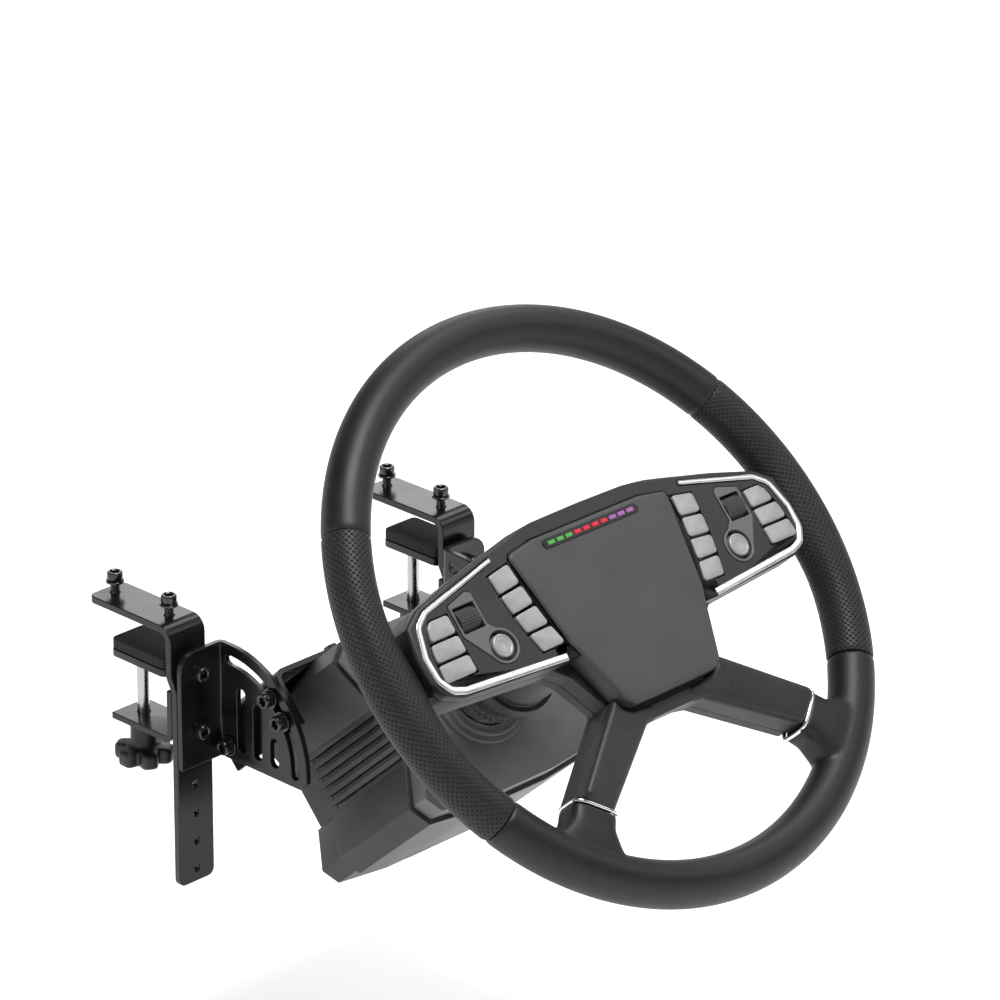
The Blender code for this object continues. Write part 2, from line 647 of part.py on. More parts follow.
# ======== tilting cradle and its pivot screws
SKIN_TOP = CRADLE_TOP - CRADLE_THICK
CRADLE_HALF = SECTOR_INNER - GAP - CRADLE_THICK / 2
path = rounded(
    [(-CRADLE_HALF, CRADLE_SKIRT), (-CRADLE_HALF, CRADLE_TOP - CRADLE_THICK / 2),
     (CRADLE_HALF, CRADLE_TOP - CRADLE_THICK / 2), (CRADLE_HALF, CRADLE_SKIRT)],
    CRADLE_BEND - CRADLE_THICK / 2, 4, False,
)
WASHER_AT = SECTOR_OUTER + GAP
HEAD_AT = WASHER_AT + WASHER_THICK
HEAD_END = HEAD_AT + HEAD_HEIGHT
screws = []
for side in SIDES.values():
    for spread in (-SLOT_SCREW_SPREAD, SLOT_SCREW_SPREAD):
        place = (PIVOT_RISE + ARC_SLOT_RADIUS * math.sin(spread),
                 -PIVOT_REACH + ARC_SLOT_RADIUS * math.cos(spread))
        profile = [
            (SCREW_RADIUS, side * (SECTOR_INNER - 2 * CRADLE_THICK)), (SCREW_RADIUS, side * WASHER_AT),
            (CLAMP_WASHER_RADIUS, side * WASHER_AT), (CLAMP_WASHER_RADIUS, side * HEAD_AT),
            (HEAD_RADIUS, side * HEAD_AT), (HEAD_RADIUS, side * HEAD_END),
        ]
        screws.append(turned(profile, place, "yz", 10))
    for depth in MOUNT_SCREW_DEPTHS:
        profile = ((MOUNT_HEAD_RADIUS, SKIN_TOP + GAP), (MOUNT_HEAD_RADIUS, CRADLE_TOP + MOUNT_HEAD_HEIGHT))
        screws.append(turned(profile, (side * MOUNT_SCREW_X, -depth), "xz", 10))
node(
    "cradle", prism(strip(path, CRADLE_THICK), -CRADLE_REAR, -CRADLE_FRONT), BLACK_STEEL,
    tilt_axis, BASE_PLACE,
    fused=screws, cuts=[hole(SCREW_HOLE, (PIVOT_RISE, -PIVOT_REACH), -SECTOR_OUTER, SECTOR_OUTER, "yz")],
)
for word, side in SIDES.items():
    nut = SECTOR_INNER - GAP - CRADLE_THICK - GAP
    profile = [
        (NUT_RADIUS, side * (nut - NUT_THICK)), (NUT_RADIUS, side * nut), (SCREW_RADIUS, side * nut),
        (SCREW_RADIUS, side * WASHER_AT), (CLAMP_WASHER_RADIUS, side * WASHER_AT),
        (CLAMP_WASHER_RADIUS, side * HEAD_AT), (HEAD_RADIUS, side * HEAD_AT), (HEAD_RADIUS, side * HEAD_END),
    ]
    node(f"pivot_screw_{word}", turned(profile, plane="yz", steps=12), SCREW_STEEL, tilt_axis)

# ======== motor base: finned housing, covers, motor and board
fins = []
for index in range(GROOVE_COUNT):
    level = GROOVE_FIRST - index * FIN_PITCH
    fins += [(FIN_TIP, level + GROOVE_HALF), (FIN_ROOT, level + GROOVE_HALF),
             (FIN_ROOT, level - GROOVE_HALF), (FIN_TIP, level - GROOVE_HALF)]
HOUSING_HALF = list(BASE_TOP) + fins + list(BASE_FOOT)
PLAIN_HALF = list(BASE_TOP) + [
    (FIN_ROOT + COVER_STEP, GROOVE_FIRST + GROOVE_HALF),
    (FIN_ROOT + COVER_STEP, GROOVE_FIRST - (GROOVE_COUNT - 1) * FIN_PITCH - GROOVE_HALF),
] + list(BASE_FOOT)
COVER_OUTLINE = grown(mirrored(PLAIN_HALF), -COVER_STEP)
BORE = STATOR_RADIUS + GAP
node(
    "base_housing", prism(mirrored(HOUSING_HALF), -BASE_REAR, -BASE_FRONT), DARK_ALUMINIUM,
    tilt_axis, BASE_PLACE,
    cuts=[hole(BORE, (0, 0), -2 * BASE_REAR, 0, "xy", 32)],
)
COVER_FRONT = BASE_FRONT - FRONT_COVER_DEPTH
COLLAR_FRONT = COVER_FRONT - COLLAR_HEIGHT
SHAFT_HOLE = SHAFT_RADIUS + SHAFT_CLEAR
node(
    "base_front_cover", prism(COVER_OUTLINE, -BASE_FRONT + GAP, -COVER_FRONT), GREY_ALUMINIUM,
    tilt_axis, BASE_PLACE,
    fused=[turned((
        (COLLAR_RADIUS, -BASE_FRONT + FRONT_COVER_DEPTH / 2), (COLLAR_RADIUS, -COLLAR_FRONT - COLLAR_HEIGHT / 2),
        (COLLAR_LIP_RADIUS, -COLLAR_FRONT - COLLAR_HEIGHT / 2), (COLLAR_LIP_RADIUS, -COLLAR_FRONT),
    ))],
    cuts=[turned((
        (SHAFT_HOLE, -BASE_REAR), (SHAFT_HOLE, -COLLAR_FRONT - COLLAR_RECESS_DEPTH),
        (COLLAR_RECESS_RADIUS, -COLLAR_FRONT - COLLAR_RECESS_DEPTH), (COLLAR_RECESS_RADIUS, 0),
    ))],
)
REAR_BACK = BASE_REAR + REAR_COVER_DEPTH
POCKET_BACK = REAR_BACK - 2 * COVER_STEP
BOARD_FRONT = BASE_REAR + 2 * COVER_STEP
socket_shapes = []
socket_holes = []
for along, half in SOCKETS:
    level = (BOARD_TOP + BOARD_BOTTOM) / 2
    outline = box(along - half, along + half, level - SOCKET_HALF_HEIGHT, level + SOCKET_HALF_HEIGHT)
    socket_shapes.append(prism(outline, -REAR_BACK + GAP, -BOARD_FRONT - BOARD_THICK / 2))
    socket_holes.append(prism(grown(outline, GAP), -2 * REAR_BACK, -BASE_REAR))
board = box(-BOARD_HALF_WIDTH, BOARD_HALF_WIDTH, BOARD_BOTTOM, BOARD_TOP)
node(
    "base_rear_cover", prism(COVER_OUTLINE, -REAR_BACK, -BASE_REAR - GAP), DARK_ALUMINIUM,
    tilt_axis, BASE_PLACE,
    cuts=socket_holes + [
        prism(grown(board, GAP), -POCKET_BACK, -BASE_REAR + COVER_STEP),
        hole(SHAFT_HOLE, (0, 0), -SHAFT_REAR - GAP, 0, "xy", TURNED_STEPS),
    ],
)
node(
    "driver_board", prism(board, -BOARD_FRONT - BOARD_THICK, -BOARD_FRONT), BOARD_GREEN, tilt_axis, BASE_PLACE,
    fused=socket_shapes,
)
MOTOR_MIDDLE = (BASE_FRONT + BASE_REAR) / 2
STATOR_ENDS = (-MOTOR_MIDDLE - STATOR_LENGTH / 2, -MOTOR_MIDDLE + STATOR_LENGTH / 2)
teeth = []
for index in range(STATOR_TEETH):
    turn = 2 * math.pi / STATOR_TEETH
    for share, radius in ((0.0, STATOR_BORE), (0.5, STATOR_BORE), (0.5, STATOR_BORE + STATOR_TOOTH),
                          (1.0, STATOR_BORE + STATOR_TOOTH)):
        angle = turn * (index + share)
        teeth.append((radius * math.cos(angle), radius * math.sin(angle)))
node(
    "motor_stator", hole(STATOR_RADIUS, (0, 0), *STATOR_ENDS, "xy", 32), COPPER, tilt_axis, BASE_PLACE,
    cuts=[prism(teeth, 2 * STATOR_ENDS[0], 0)],
)

# ======== turning shaft with the rotor, and the quick release
ROTOR_RADIUS = STATOR_BORE - ROTOR_GAP
node("motor_rotor", turned((
    (SHAFT_RADIUS, -SHAFT_REAR), (SHAFT_RADIUS, STATOR_ENDS[0]), (ROTOR_RADIUS, STATOR_ENDS[0]),
    (ROTOR_RADIUS, STATOR_ENDS[1]), (SHAFT_RADIUS, STATOR_ENDS[1]), (SHAFT_RADIUS, -SHAFT_FLANGE_BACK),
    (SHAFT_FLANGE_RADIUS, -SHAFT_FLANGE_BACK), (SHAFT_FLANGE_RADIUS, -SHAFT_FLANGE_FRONT),
    (SPIGOT_RADIUS, -SHAFT_FLANGE_FRONT), (SPIGOT_RADIUS, -SPIGOT_FRONT),
)), BRIGHT_STEEL, wheel_axis)
ADAPTER_FRONT = FRAME_HALF_THICK + GAP
SOCKET_WALL = SPIGOT_RADIUS + GAP
BARREL_END = SHAFT_FLANGE_FRONT - GAP
node("wheel_adapter", turned((
    (ADAPTER_RADIUS, -ADAPTER_FRONT), (ADAPTER_RADIUS, -ADAPTER_FLANGE_FRONT),
    (ADAPTER_FLANGE_RADIUS, -ADAPTER_FLANGE_FRONT), (ADAPTER_FLANGE_RADIUS, -ADAPTER_FLANGE_BACK),
    (ADAPTER_BARREL_RADIUS, -ADAPTER_FLANGE_BACK), (ADAPTER_BARREL_RADIUS, -BARREL_END),
    (SOCKET_WALL, -BARREL_END), (SOCKET_WALL, -SPIGOT_FRONT + GAP),
)), GREY_ALUMINIUM, wheel_axis)
RING_BORE = ADAPTER_BARREL_RADIUS + GAP
node("lock_ring", turned((
    (LOCK_RING_RADIUS, -LOCK_RING_FRONT), (LOCK_RING_RADIUS, -LOCK_RING_BACK),
    (RING_BORE, -LOCK_RING_BACK), (RING_BORE, -LOCK_RING_FRONT),
), ring=True), DARK_ALUMINIUM, wheel_axis)

# ======== cast frame: plate, arms and the hoop inside the rim
STATIONS = []
for start, end, steps in (
    (-GRIP_HALF_ANGLE, GRIP_HALF_ANGLE, GRIP_STEPS),
    (GRIP_HALF_ANGLE, math.pi - GRIP_HALF_ANGLE, ARC_STEPS),
    (math.pi - GRIP_HALF_ANGLE, math.pi + GRIP_HALF_ANGLE, GRIP_STEPS),
    (math.pi + GRIP_HALF_ANGLE, 2 * math.pi - GRIP_HALF_ANGLE, ARC_STEPS),
):
    STATIONS.append([start + (end - start) * step / steps for step in range(steps + 1)])
HOOP = [angle for part in STATIONS for angle in part[:-1]]


def side_arm(side, extra):
    """The outline of a side arm, from the crossbar to the hoop, grown by extra."""
    half = SIDE_ARM_HALF_WIDTH + extra
    return box(*sorted((side * 0.85 * RIM_RADIUS, side * RIM_RADIUS)), -half, half)


def lower_arm(side, extra):
    """The outline of a lower arm, along a spoke's middle line to the hoop, grown by extra."""
    turn = Matrix.Rotation(LOWER_ARM_ANGLE, 2)
    half = LOWER_ARM_HALF_WIDTH + extra
    corners = [turn @ Vector(point) for point in box(0.7 * RIM_RADIUS, RIM_RADIUS, -half, half)]
    return [(side * point.x, point.y) for point in corners]


def shoulder(side):
    """The leather flare round a lower arm, from the spoke's end into the rim."""
    along = Vector((math.cos(LOWER_ARM_ANGLE), math.sin(LOWER_ARM_ANGLE)))
    across = Vector((-along.y, along.x))
    rings = []
    for reach, width, height in SHOULDERS:
        ring = []
        for step in range(SHOULDER_SIDES):
            angle = 2 * math.pi * (step + 0.5) / SHOULDER_SIDES
            turn = (math.cos(angle), math.sin(angle))
            shape = [math.copysign(math.sqrt(abs(value)), value) for value in turn]
            point = along * reach + across * width * shape[0]
            ring.append((side * point.x, point.y, height * shape[1]))
        rings.append(ring)
    return rings, False


ARMS = []
ARM_HOLES = []
for side in SIDES.values():
    for outline in (side_arm, lower_arm):
        ARMS.append(prism(outline(side, 0), -ARM_HALF_THICK, ARM_HALF_THICK))
        ARM_HOLES.append(prism(outline(side, GAP), -ARM_HALF_THICK - GAP, ARM_HALF_THICK + GAP))
BODY = mirrored(BODY_HALF)
pockets = []
for side in SIDES.values():
    window = grown(box(*WINDOW_U, *WINDOW_V), GAP)
    floor = ROLLER_HEIGHT - ROLLER_RADIUS - 2 * GAP
    pockets.append(prism(sided(window, side), floor, 2 * FRAME_HALF_THICK))
node(
    "wheel_frame", prism(BODY, -FRAME_HALF_THICK, FRAME_HALF_THICK), CAST_ALUMINIUM, wheel_axis,
    fused=[hoop(HOOP, RIM_RADIUS, RING_TUBE, RING_SIDES)] + ARMS, cuts=pockets,
)
BACK_TOP = -FRAME_HALF_THICK - GAP
node(
    "wheel_back_cover", prism(grown(BODY, -PAD_BEVEL), BACK_TOP - BACK_COVER_THICK, BACK_TOP), PLASTIC_BLACK,
    wheel_axis, cuts=[hole(ADAPTER_RADIUS + GAP, (0, 0), -10 * BACK_COVER_THICK, 0, "xy", TURNED_STEPS)],
)

# ======== rim: two perforated grips and two smooth arcs round the hoop
FLARES = [shoulder(side) for side in SIDES.values()]
for name, part, flares, holes in (
    ("rim_grip_right", STATIONS[0], [], [ARM_HOLES[2]]), ("rim_top", STATIONS[1], [], []),
    ("rim_grip_left", STATIONS[2], [], [ARM_HOLES[0]]),
    ("rim_bottom", STATIONS[3], FLARES, [ARM_HOLES[1], ARM_HOLES[3]]),
):
    part = [part[0] + SEAM_HALF_ANGLE] + part[1:-1] + [part[-1] - SEAM_HALF_ANGLE]
    shape = hollow_arc(part, RIM_RADIUS, RIM_TUBE, RIM_BORE, TUBE_SIDES)
    node(name, shape, LEATHER, wheel_axis, fused=flares, cuts=holes)

# ======== front of the wheel: pad, shell, spoke cover and trim
FLOOR = FRAME_HALF_THICK + GAP


def face(u, _v=0.0):
    """The height of the crossbar's face at u."""
    return FACE_HEIGHT - FACE_SLOPE * (abs(u) - FACE_BREAK)


def over_face(rise):
    """A level that follows the crossbar's face, rise above it."""
    return lambda u, v: face(u) + rise


PAD = mirrored(PAD_HALF)
pad_rings = [[(u, v, FLOOR) for u, v in PAD], [(u, v, PAD_HEIGHT - PAD_BEVEL) for u, v in PAD],
             [(u, v, PAD_HEIGHT) for u, v in grown(PAD, -PAD_BEVEL)]]
LIGHT = rounded(
    box(-LIGHT_HALF_LENGTH, LIGHT_HALF_LENGTH, LIGHT_RISE - LIGHT_HALF_WIDTH, LIGHT_RISE + LIGHT_HALF_WIDTH),
    LIGHT_HALF_WIDTH, 4,
)
LIGHT_FLOOR = PAD_HEIGHT - LIGHT_DEPTH
node(
    "centre_pad", (pad_rings, False), PANEL_GREY, wheel_axis,
    cuts=[prism(grown(LIGHT, GAP), LIGHT_FLOOR - GAP, 2 * PAD_HEIGHT)],
)
node("rev_light_bar", prism(LIGHT, LIGHT_FLOOR, PAD_HEIGHT), SMOKED_LENS, wheel_axis)

CELLS = {
    "inner": [
        (COLUMN_INNER[k], COLUMN_OUTER[k], COLUMN_OUTER[k + 1], COLUMN_INNER[k + 1])
        for k in range(len(COLUMN_INNER) - 1)
    ],
    "outer": list(OUTER_CELLS),
}
BEZEL_IN = WINDOW_U[0] - BEZEL_SIDE
BEZEL_OUT = WINDOW_U[1] + BEZEL_SIDE
BEZEL = [(BEZEL_OUT, WINDOW_V[1] + BEZEL_SHOULDER), (WINDOW_U[0] + BEZEL_PEAK_IN, WINDOW_V[1] + BEZEL_PEAK),
         (BEZEL_IN, WINDOW_V[1] + BEZEL_NECK), (BEZEL_IN, WINDOW_V[0] + BEZEL_WAIST)]
BEZEL += arc((DIAL_U, DIAL_V), DIAL_WALL, math.radians(100), math.radians(340), 14)
BEZEL += [(BEZEL_OUT, WINDOW_V[0] - BEZEL_FOOT)]
TRIM = strip(rounded(TRIM_PATH, 0.006, 3, False), TRIM_WIDTH)

crossbar_foot = [(u, v) for u, v in BODY_HALF if v > SHELL_FOOT - GAP]
SHELL_HALF = crossbar_foot + [(0.0, crossbar_foot[-1][1])]
shell_cuts = [prism(grown(PAD, PAD_SEAM), 0, 2 * PAD_HEIGHT)]
for side in SIDES.values():
    for well in (COLUMN_INNER + COLUMN_OUTER[::-1], OUTER_WELL, grown(BEZEL, GAP)):
        shell_cuts.append(prism(sided(well, side), 0, 2 * PAD_HEIGHT))
    shell_cuts.append(prism(sided(grown(TRIM, GAP), side), face(RIM_RADIUS) - TRIM_DEPTH, 2 * PAD_HEIGHT))
    wedge = [(FACE_BREAK, face(FACE_BREAK)), (RIM_RADIUS, face(RIM_RADIUS)), (RIM_RADIUS, 2 * PAD_HEIGHT),
             (FACE_BREAK, 2 * PAD_HEIGHT)]
    shell_cuts.append(prism(sided(wedge, side), -RIM_RADIUS, RIM_RADIUS, "xz"))
node("crossbar_shell", prism(mirrored(SHELL_HALF), FLOOR, FACE_HEIGHT), PANEL_GREY, wheel_axis, cuts=shell_cuts)


def spoke_face(u, v):
    """The height of the spoke cover's face, which rises outwards along each spoke."""
    return SPOKE_TOP + SPOKE_SLOPE * (abs(u) - SPOKE_FACE_FROM[0] + v - SPOKE_FACE_FROM[1])


bridge = box(-BRIDGE_HALF_WIDTH, BRIDGE_HALF_WIDTH, SPOKE_COVER[4][1], SPOKE_COVER[5][1])
node(
    "lower_spoke_cover", prism(bridge, FLOOR, BRIDGE_TOP), PANEL_GREY, wheel_axis,
    fused=[prism(sided(SPOKE_COVER, side), FLOOR, spoke_face) for side in SIDES.values()],
)
for word, side in SIDES.items():
    shape = prism(sided(TRIM, side), face(RIM_RADIUS) - TRIM_DEPTH + GAP, over_face(TRIM_PROUD))
    node(f"trim_{word}", shape, CHROME, wheel_axis)

# ======== controls on each side of the pad
for word, side in SIDES.items():
    for column, cells in CELLS.items():
        for number, cell in enumerate(cells, 1):
            middle = (sum(u for u, v in cell) / len(cell), sum(v for u, v in cell) / len(cell))
            local = [(side * (u - middle[0]), v - middle[1]) for u, v in cell]
            base = rounded(grown(local, -BUTTON_BASE_GAP), BUTTON_CORNER, 2)
            cap = rounded(grown(local, -BUTTON_CAP_GAP), BUTTON_CORNER, 2)
            crown = rounded(grown(local, -BUTTON_CAP_GAP - BUTTON_EDGE), BUTTON_CORNER, 2)
            low = FLOOR + BUTTON_TRAVEL + GAP
            start = low + BUTTON_BASE_HEIGHT
            top = [face(middle[0] + side * u) + BUTTON_PROUD for u, v in cap]
            rings = [
                [(u, v, 0.0) for u, v in base],
                [(u, v, BUTTON_BASE_HEIGHT) for u, v in base],
                [(u, v, BUTTON_BASE_HEIGHT) for u, v in cap],
                [(u, v, level - BUTTON_EDGE - low) for (u, v), level in zip(cap, top)],
                [(u, v, level - low) for (u, v), level in zip(crown, top)],
            ]
            place = (side * middle[0], middle[1], low)
            node(f"button_{column}_{word}_{number}", (rings, False), BUTTON_GREY, wheel_axis, place)

    window = prism(sided(box(*WINDOW_U, *WINDOW_V), side), 0, 2 * PAD_HEIGHT)
    well = hole(DIAL_WELL, (side * DIAL_U, DIAL_V), DIAL_FLOOR, 2 * PAD_HEIGHT, "xy", 20)
    node(
        f"control_bezel_{word}", prism(sided(BEZEL, side), FLOOR, over_face(BEZEL_PROUD)), GREY_ALUMINIUM,
        wheel_axis, cuts=[window, well],
    )
    roller_place = (side * sum(WINDOW_U) / 2, sum(WINDOW_V) / 2, ROLLER_HEIGHT)
    half = (WINDOW_U[1] - WINDOW_U[0]) / 2 - ROLLER_CLEAR
    shape = turned(((ROLLER_RADIUS, -half), (ROLLER_RADIUS, half)), plane="yz")
    node(f"roller_{word}", shape, BLACK_RUBBER, wheel_axis, roller_place)
    dial = turned((
        (DIAL_FLANGE, GAP), (DIAL_FLANGE, DIAL_FLANGE_TALL), (DIAL_RADIUS, DIAL_NECK),
        (DIAL_RADIUS, DIAL_TOP - DIAL_FLOOR - DIAL_EDGE_TALL), (DIAL_RADIUS - DIAL_EDGE, DIAL_TOP - DIAL_FLOOR),
    ), steps=20)
    node(f"dial_{word}", dial, BUTTON_GREY, wheel_axis, (side * DIAL_U, DIAL_V, DIAL_FLOOR))
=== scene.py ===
"""Looks of a desk-clamped racing wheel, piece by piece in the order in which it is put together."""

import json
import math

import bmesh
import bpy
import numpy as np
from mathutils import Matrix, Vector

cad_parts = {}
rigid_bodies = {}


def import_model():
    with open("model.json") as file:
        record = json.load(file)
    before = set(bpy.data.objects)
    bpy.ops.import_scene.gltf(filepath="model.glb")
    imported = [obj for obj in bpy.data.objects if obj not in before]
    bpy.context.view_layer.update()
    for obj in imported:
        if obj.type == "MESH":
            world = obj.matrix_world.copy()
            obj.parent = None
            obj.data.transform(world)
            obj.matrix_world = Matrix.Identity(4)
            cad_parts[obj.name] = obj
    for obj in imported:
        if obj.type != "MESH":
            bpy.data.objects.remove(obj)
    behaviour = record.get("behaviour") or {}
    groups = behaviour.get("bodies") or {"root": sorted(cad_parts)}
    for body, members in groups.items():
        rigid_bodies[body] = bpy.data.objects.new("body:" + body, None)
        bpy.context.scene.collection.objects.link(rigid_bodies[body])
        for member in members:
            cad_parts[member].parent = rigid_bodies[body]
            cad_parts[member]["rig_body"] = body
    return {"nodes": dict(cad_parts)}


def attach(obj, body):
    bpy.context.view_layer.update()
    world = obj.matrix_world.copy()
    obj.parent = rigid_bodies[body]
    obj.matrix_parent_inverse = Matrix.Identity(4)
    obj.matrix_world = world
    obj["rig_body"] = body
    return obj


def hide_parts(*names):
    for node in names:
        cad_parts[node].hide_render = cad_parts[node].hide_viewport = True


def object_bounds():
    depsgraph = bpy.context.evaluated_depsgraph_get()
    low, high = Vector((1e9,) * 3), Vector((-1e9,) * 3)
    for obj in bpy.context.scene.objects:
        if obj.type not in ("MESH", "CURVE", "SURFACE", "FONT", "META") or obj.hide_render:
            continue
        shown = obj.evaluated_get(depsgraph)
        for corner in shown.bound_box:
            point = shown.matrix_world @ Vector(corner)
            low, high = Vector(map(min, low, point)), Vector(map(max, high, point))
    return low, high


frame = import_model()
cad_low, cad_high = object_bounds()

# ======== floor, lamps and camera
# A pale studio floor, low enough for every tilt of the wheel, curves up into a backdrop.
# Soft lamps stand above and beside the part, and the camera in front, to the left.


class Value:
    """An output socket; each operator on it adds a Math node to its finish."""

    def __init__(self, finish, socket):
        self.finish = finish
        self.socket = socket

    def math(self, operation, *others):
        return self.finish.node("Math", {"operation": operation}, dict(enumerate((self, *others))))

    def __add__(self, other):
        return self.math("ADD", other)

    def __sub__(self, other):
        return self.math("SUBTRACT", other)

    def __rsub__(self, other):
        return self.math("MULTIPLY_ADD", -1.0, other)

    def __mul__(self, other):
        return self.math("MULTIPLY", other)

    __radd__ = __add__
    __rmul__ = __mul__


class Finish:
    """A material drawn as expressions; node() adds any node and hands back one of its outputs."""

    def __init__(self, name, colour=(0.8, 0.8, 0.8), roughness=0.5, metallic=0.0):
        self.material = bpy.data.materials.new(name)
        self.material.use_nodes = True
        self.tree = self.material.node_tree
        self.surface = self.tree.nodes["Principled BSDF"]
        self.set("Base Color", (*colour, 1.0))
        self.set("Roughness", roughness)
        self.set("Metallic", metallic)

    def put(self, socket, value):
        if isinstance(value, Value):
            self.tree.links.new(value.socket, socket)
        else:
            socket.default_value = value

    def set(self, name, value):
        self.put(self.surface.inputs[name], value)

    def node(self, kind, settings=None, sockets=None, out=0):
        made = self.tree.nodes.new("ShaderNode" + kind)
        for key, value in (settings or {}).items():
            setattr(made, key, value)
        for key, value in (sockets or {}).items():
            self.put(made.inputs[key], value)
        return Value(self, made.outputs[out])

    def place(self):
        """The point on the piece, in metres."""
        return self.node("TexCoord", out="Object")

    def noise(self, size, detail=2.0, roughness=0.5):
        """Cloudy noise from 0 to 1 whose lumps are about size metres across."""
        sockets = {"Vector": self.place(), "Scale": 1.0 / size, "Detail": detail, "Roughness": roughness}
        return self.node("TexNoise", sockets=sockets)

    def ramp(self, value, low, high, start=0.0, end=1.0):
        """start where the value is at low, end where it is at high, and smooth between them."""
        settings = {"interpolation_type": "SMOOTHSTEP"}
        return self.node("MapRange", settings, {0: value, 1: low, 2: high, 3: start, 4: end})

    def blend(self, share, one, two):
        """One colour where the share is 0, the other where it is 1."""
        pair = [colour if isinstance(colour, Value) else (*colour, 1.0) for colour in (one, two)]
        return self.node("Mix", {"data_type": "RGBA"}, {0: share, 6: pair[0], 7: pair[1]}, out=2)

    def colour(self, share, one, two):
        """Base colour: one where the share is 0, two where it is 1."""
        self.set("Base Color", self.blend(share, one, two))

    def sheen(self, value, low, high, start, end):
        """Roughness: start where the value is at low, end where it is at high."""
        self.set("Roughness", self.ramp(value, low, high, start, end))

    def relief(self, height, depth):
        """Raises the surface by a height from 0 to 1, depth metres for 1."""
        self.set("Normal", self.node("Bump", sockets={"Height": height, "Distance": depth}))


FLOOR_LEVEL = -0.295            # under the rim where the cradle is tilted furthest down
COVE = ((0.02, 0.0), (1.5, 0.0), (4.4, 0.0), (5.2, 0.1), (5.7, 0.4), (5.95, 0.9), (6.0, 1.7))
COVE_SIDES = 64
FLOOR_GLOW = 0.64               # white added for camera, glossy and transmission rays
WORLD_LIGHT = 0.18

floor_paint = Finish("studio_floor", (0.8, 0.8, 0.8), 0.9)
tone = floor_paint.noise(0.9)
floor_paint.colour(tone, (0.78, 0.78, 0.78), (0.82, 0.82, 0.82))
kinds = ("Camera", "Glossy", "Transmission")
rays = [floor_paint.node("LightPath", out=f"Is {kind} Ray") for kind in kinds]
seen = (rays[0] + rays[1] + rays[2]).math("MINIMUM", 1.0)
floor_paint.set("Emission Color", floor_paint.blend(seen, (0.0, 0.0, 0.0), (1.0, 1.0, 1.0)))
floor_paint.surface.inputs["Emission Strength"].default_value = FLOOR_GLOW
rings = np.array(COVE)
turn = np.linspace(0, 2 * math.pi, COVE_SIDES, endpoint=False)
grid = np.stack([rings[:, :1] * np.cos(turn), rings[:, :1] * np.sin(turn), rings[:, 1:] + 0 * turn], -1)
index = np.arange(grid.shape[0] * COVE_SIDES).reshape(-1, COVE_SIDES)
beside = np.roll(index, -1, 1)
quads = np.stack([index[:-1], index[1:], beside[1:], beside[:-1]], -1).reshape(-1, 4).tolist()
floor_mesh = bpy.data.meshes.new("studio_floor")
points = grid.reshape(-1, 3) + (0, 0, FLOOR_LEVEL)
floor_mesh.from_pydata(points.tolist(), [], [index[0].tolist()] + quads)
floor_mesh.shade_smooth()
floor_mesh.materials.append(floor_paint.material)
studio_floor = bpy.data.objects.new("studio_floor", floor_mesh)
bpy.context.scene.collection.objects.link(studio_floor)

world = bpy.data.worlds.new("studio")
world.use_nodes = True
bpy.context.scene.world = world
world.node_tree.nodes["Background"].inputs["Color"].default_value = (1.0, 1.0, 1.0, 1.0)
world.node_tree.nodes["Background"].inputs["Strength"].default_value = WORLD_LIGHT

LAMPS = (                       # name, place, size and watts
    ("key", (0.05, -0.65, 2.25), 1.1, 42.0),
    ("above", (1.60, 0.25, 1.85), 1.0, 8.0),
    ("rear", (1.75, 1.65, 1.15), 1.1, 9.0),
    ("side", (1.55, -1.25, 1.5), 1.0, 5.0),
    ("left", (-2.3, 0.3, 0.9), 0.7, 6.0),
)
for name, place, size, watts in LAMPS:
    light = bpy.data.lights.new(name, "AREA")
    light.shape = "DISK"
    light.size = size
    light.energy = watts
    lamp = bpy.data.objects.new(name, light)
    lamp.location = place
    aim = (cad_low + cad_high) / 2 - lamp.location
    lamp.rotation_mode = "QUATERNION"
    lamp.rotation_quaternion = aim.to_track_quat("-Z", "Y")
    bpy.context.scene.collection.objects.link(lamp)

EYE = (-2.1315, -2.21075, 1.37006)
AHEAD = np.array((0.662, 0.637, -0.3947))
ROLL = math.radians(0.43)
FOCAL = 187.2                   # mm on a sensor 36 mm wide
level = np.cross(AHEAD, (0, 0, 1))
level /= np.linalg.norm(level)
upright = np.cross(level, AHEAD)
across = math.cos(ROLL) * level + math.sin(ROLL) * upright
upward = math.cos(ROLL) * upright - math.sin(ROLL) * level
pose = np.eye(4)
pose[:3, :3] = np.column_stack([across, upward, -AHEAD])
pose[:3, 3] = EYE
camera = bpy.data.objects.new("camera", bpy.data.cameras.new("camera"))
camera.data.lens = FOCAL
camera.data.sensor_width = 36.0
camera.data.clip_end = 50.0
camera.matrix_world = Matrix([list(row) for row in pose])
bpy.context.scene.collection.objects.link(camera)
bpy.context.scene.camera = camera
bpy.context.scene.view_settings.view_transform = "Standard"

# ======== hook bars, jaw brackets and jaws of the two desk clamps
# Bent and drilled 5 mm steel strip with a glossy black coat. Its edges are broken before
# it is coated, so that they catch the light. The jaw carries a ribbed rubber pad.


def coated_steel(name):
    """Glossy black coat with a faint ripple and fine dust, a little greyer in clouds."""
    finish = Finish(name, (0.010, 0.010, 0.011), 0.24)
    ripple = finish.noise(0.004, 3.0)
    dust = finish.noise(0.0006, 2.0)
    cloud = finish.noise(0.03, 3.0)
    finish.colour(finish.ramp(cloud, 0.3, 0.75), (0.006, 0.006, 0.0065), (0.010, 0.010, 0.011))
    finish.sheen(cloud * 0.9 + dust * 0.1, 0.3, 0.75, 0.20, 0.28)
    finish.surface.inputs["Specular IOR Level"].default_value = 0.42
    finish.relief(ripple * 0.9 + dust * 0.1, 0.00001)
    return finish.material


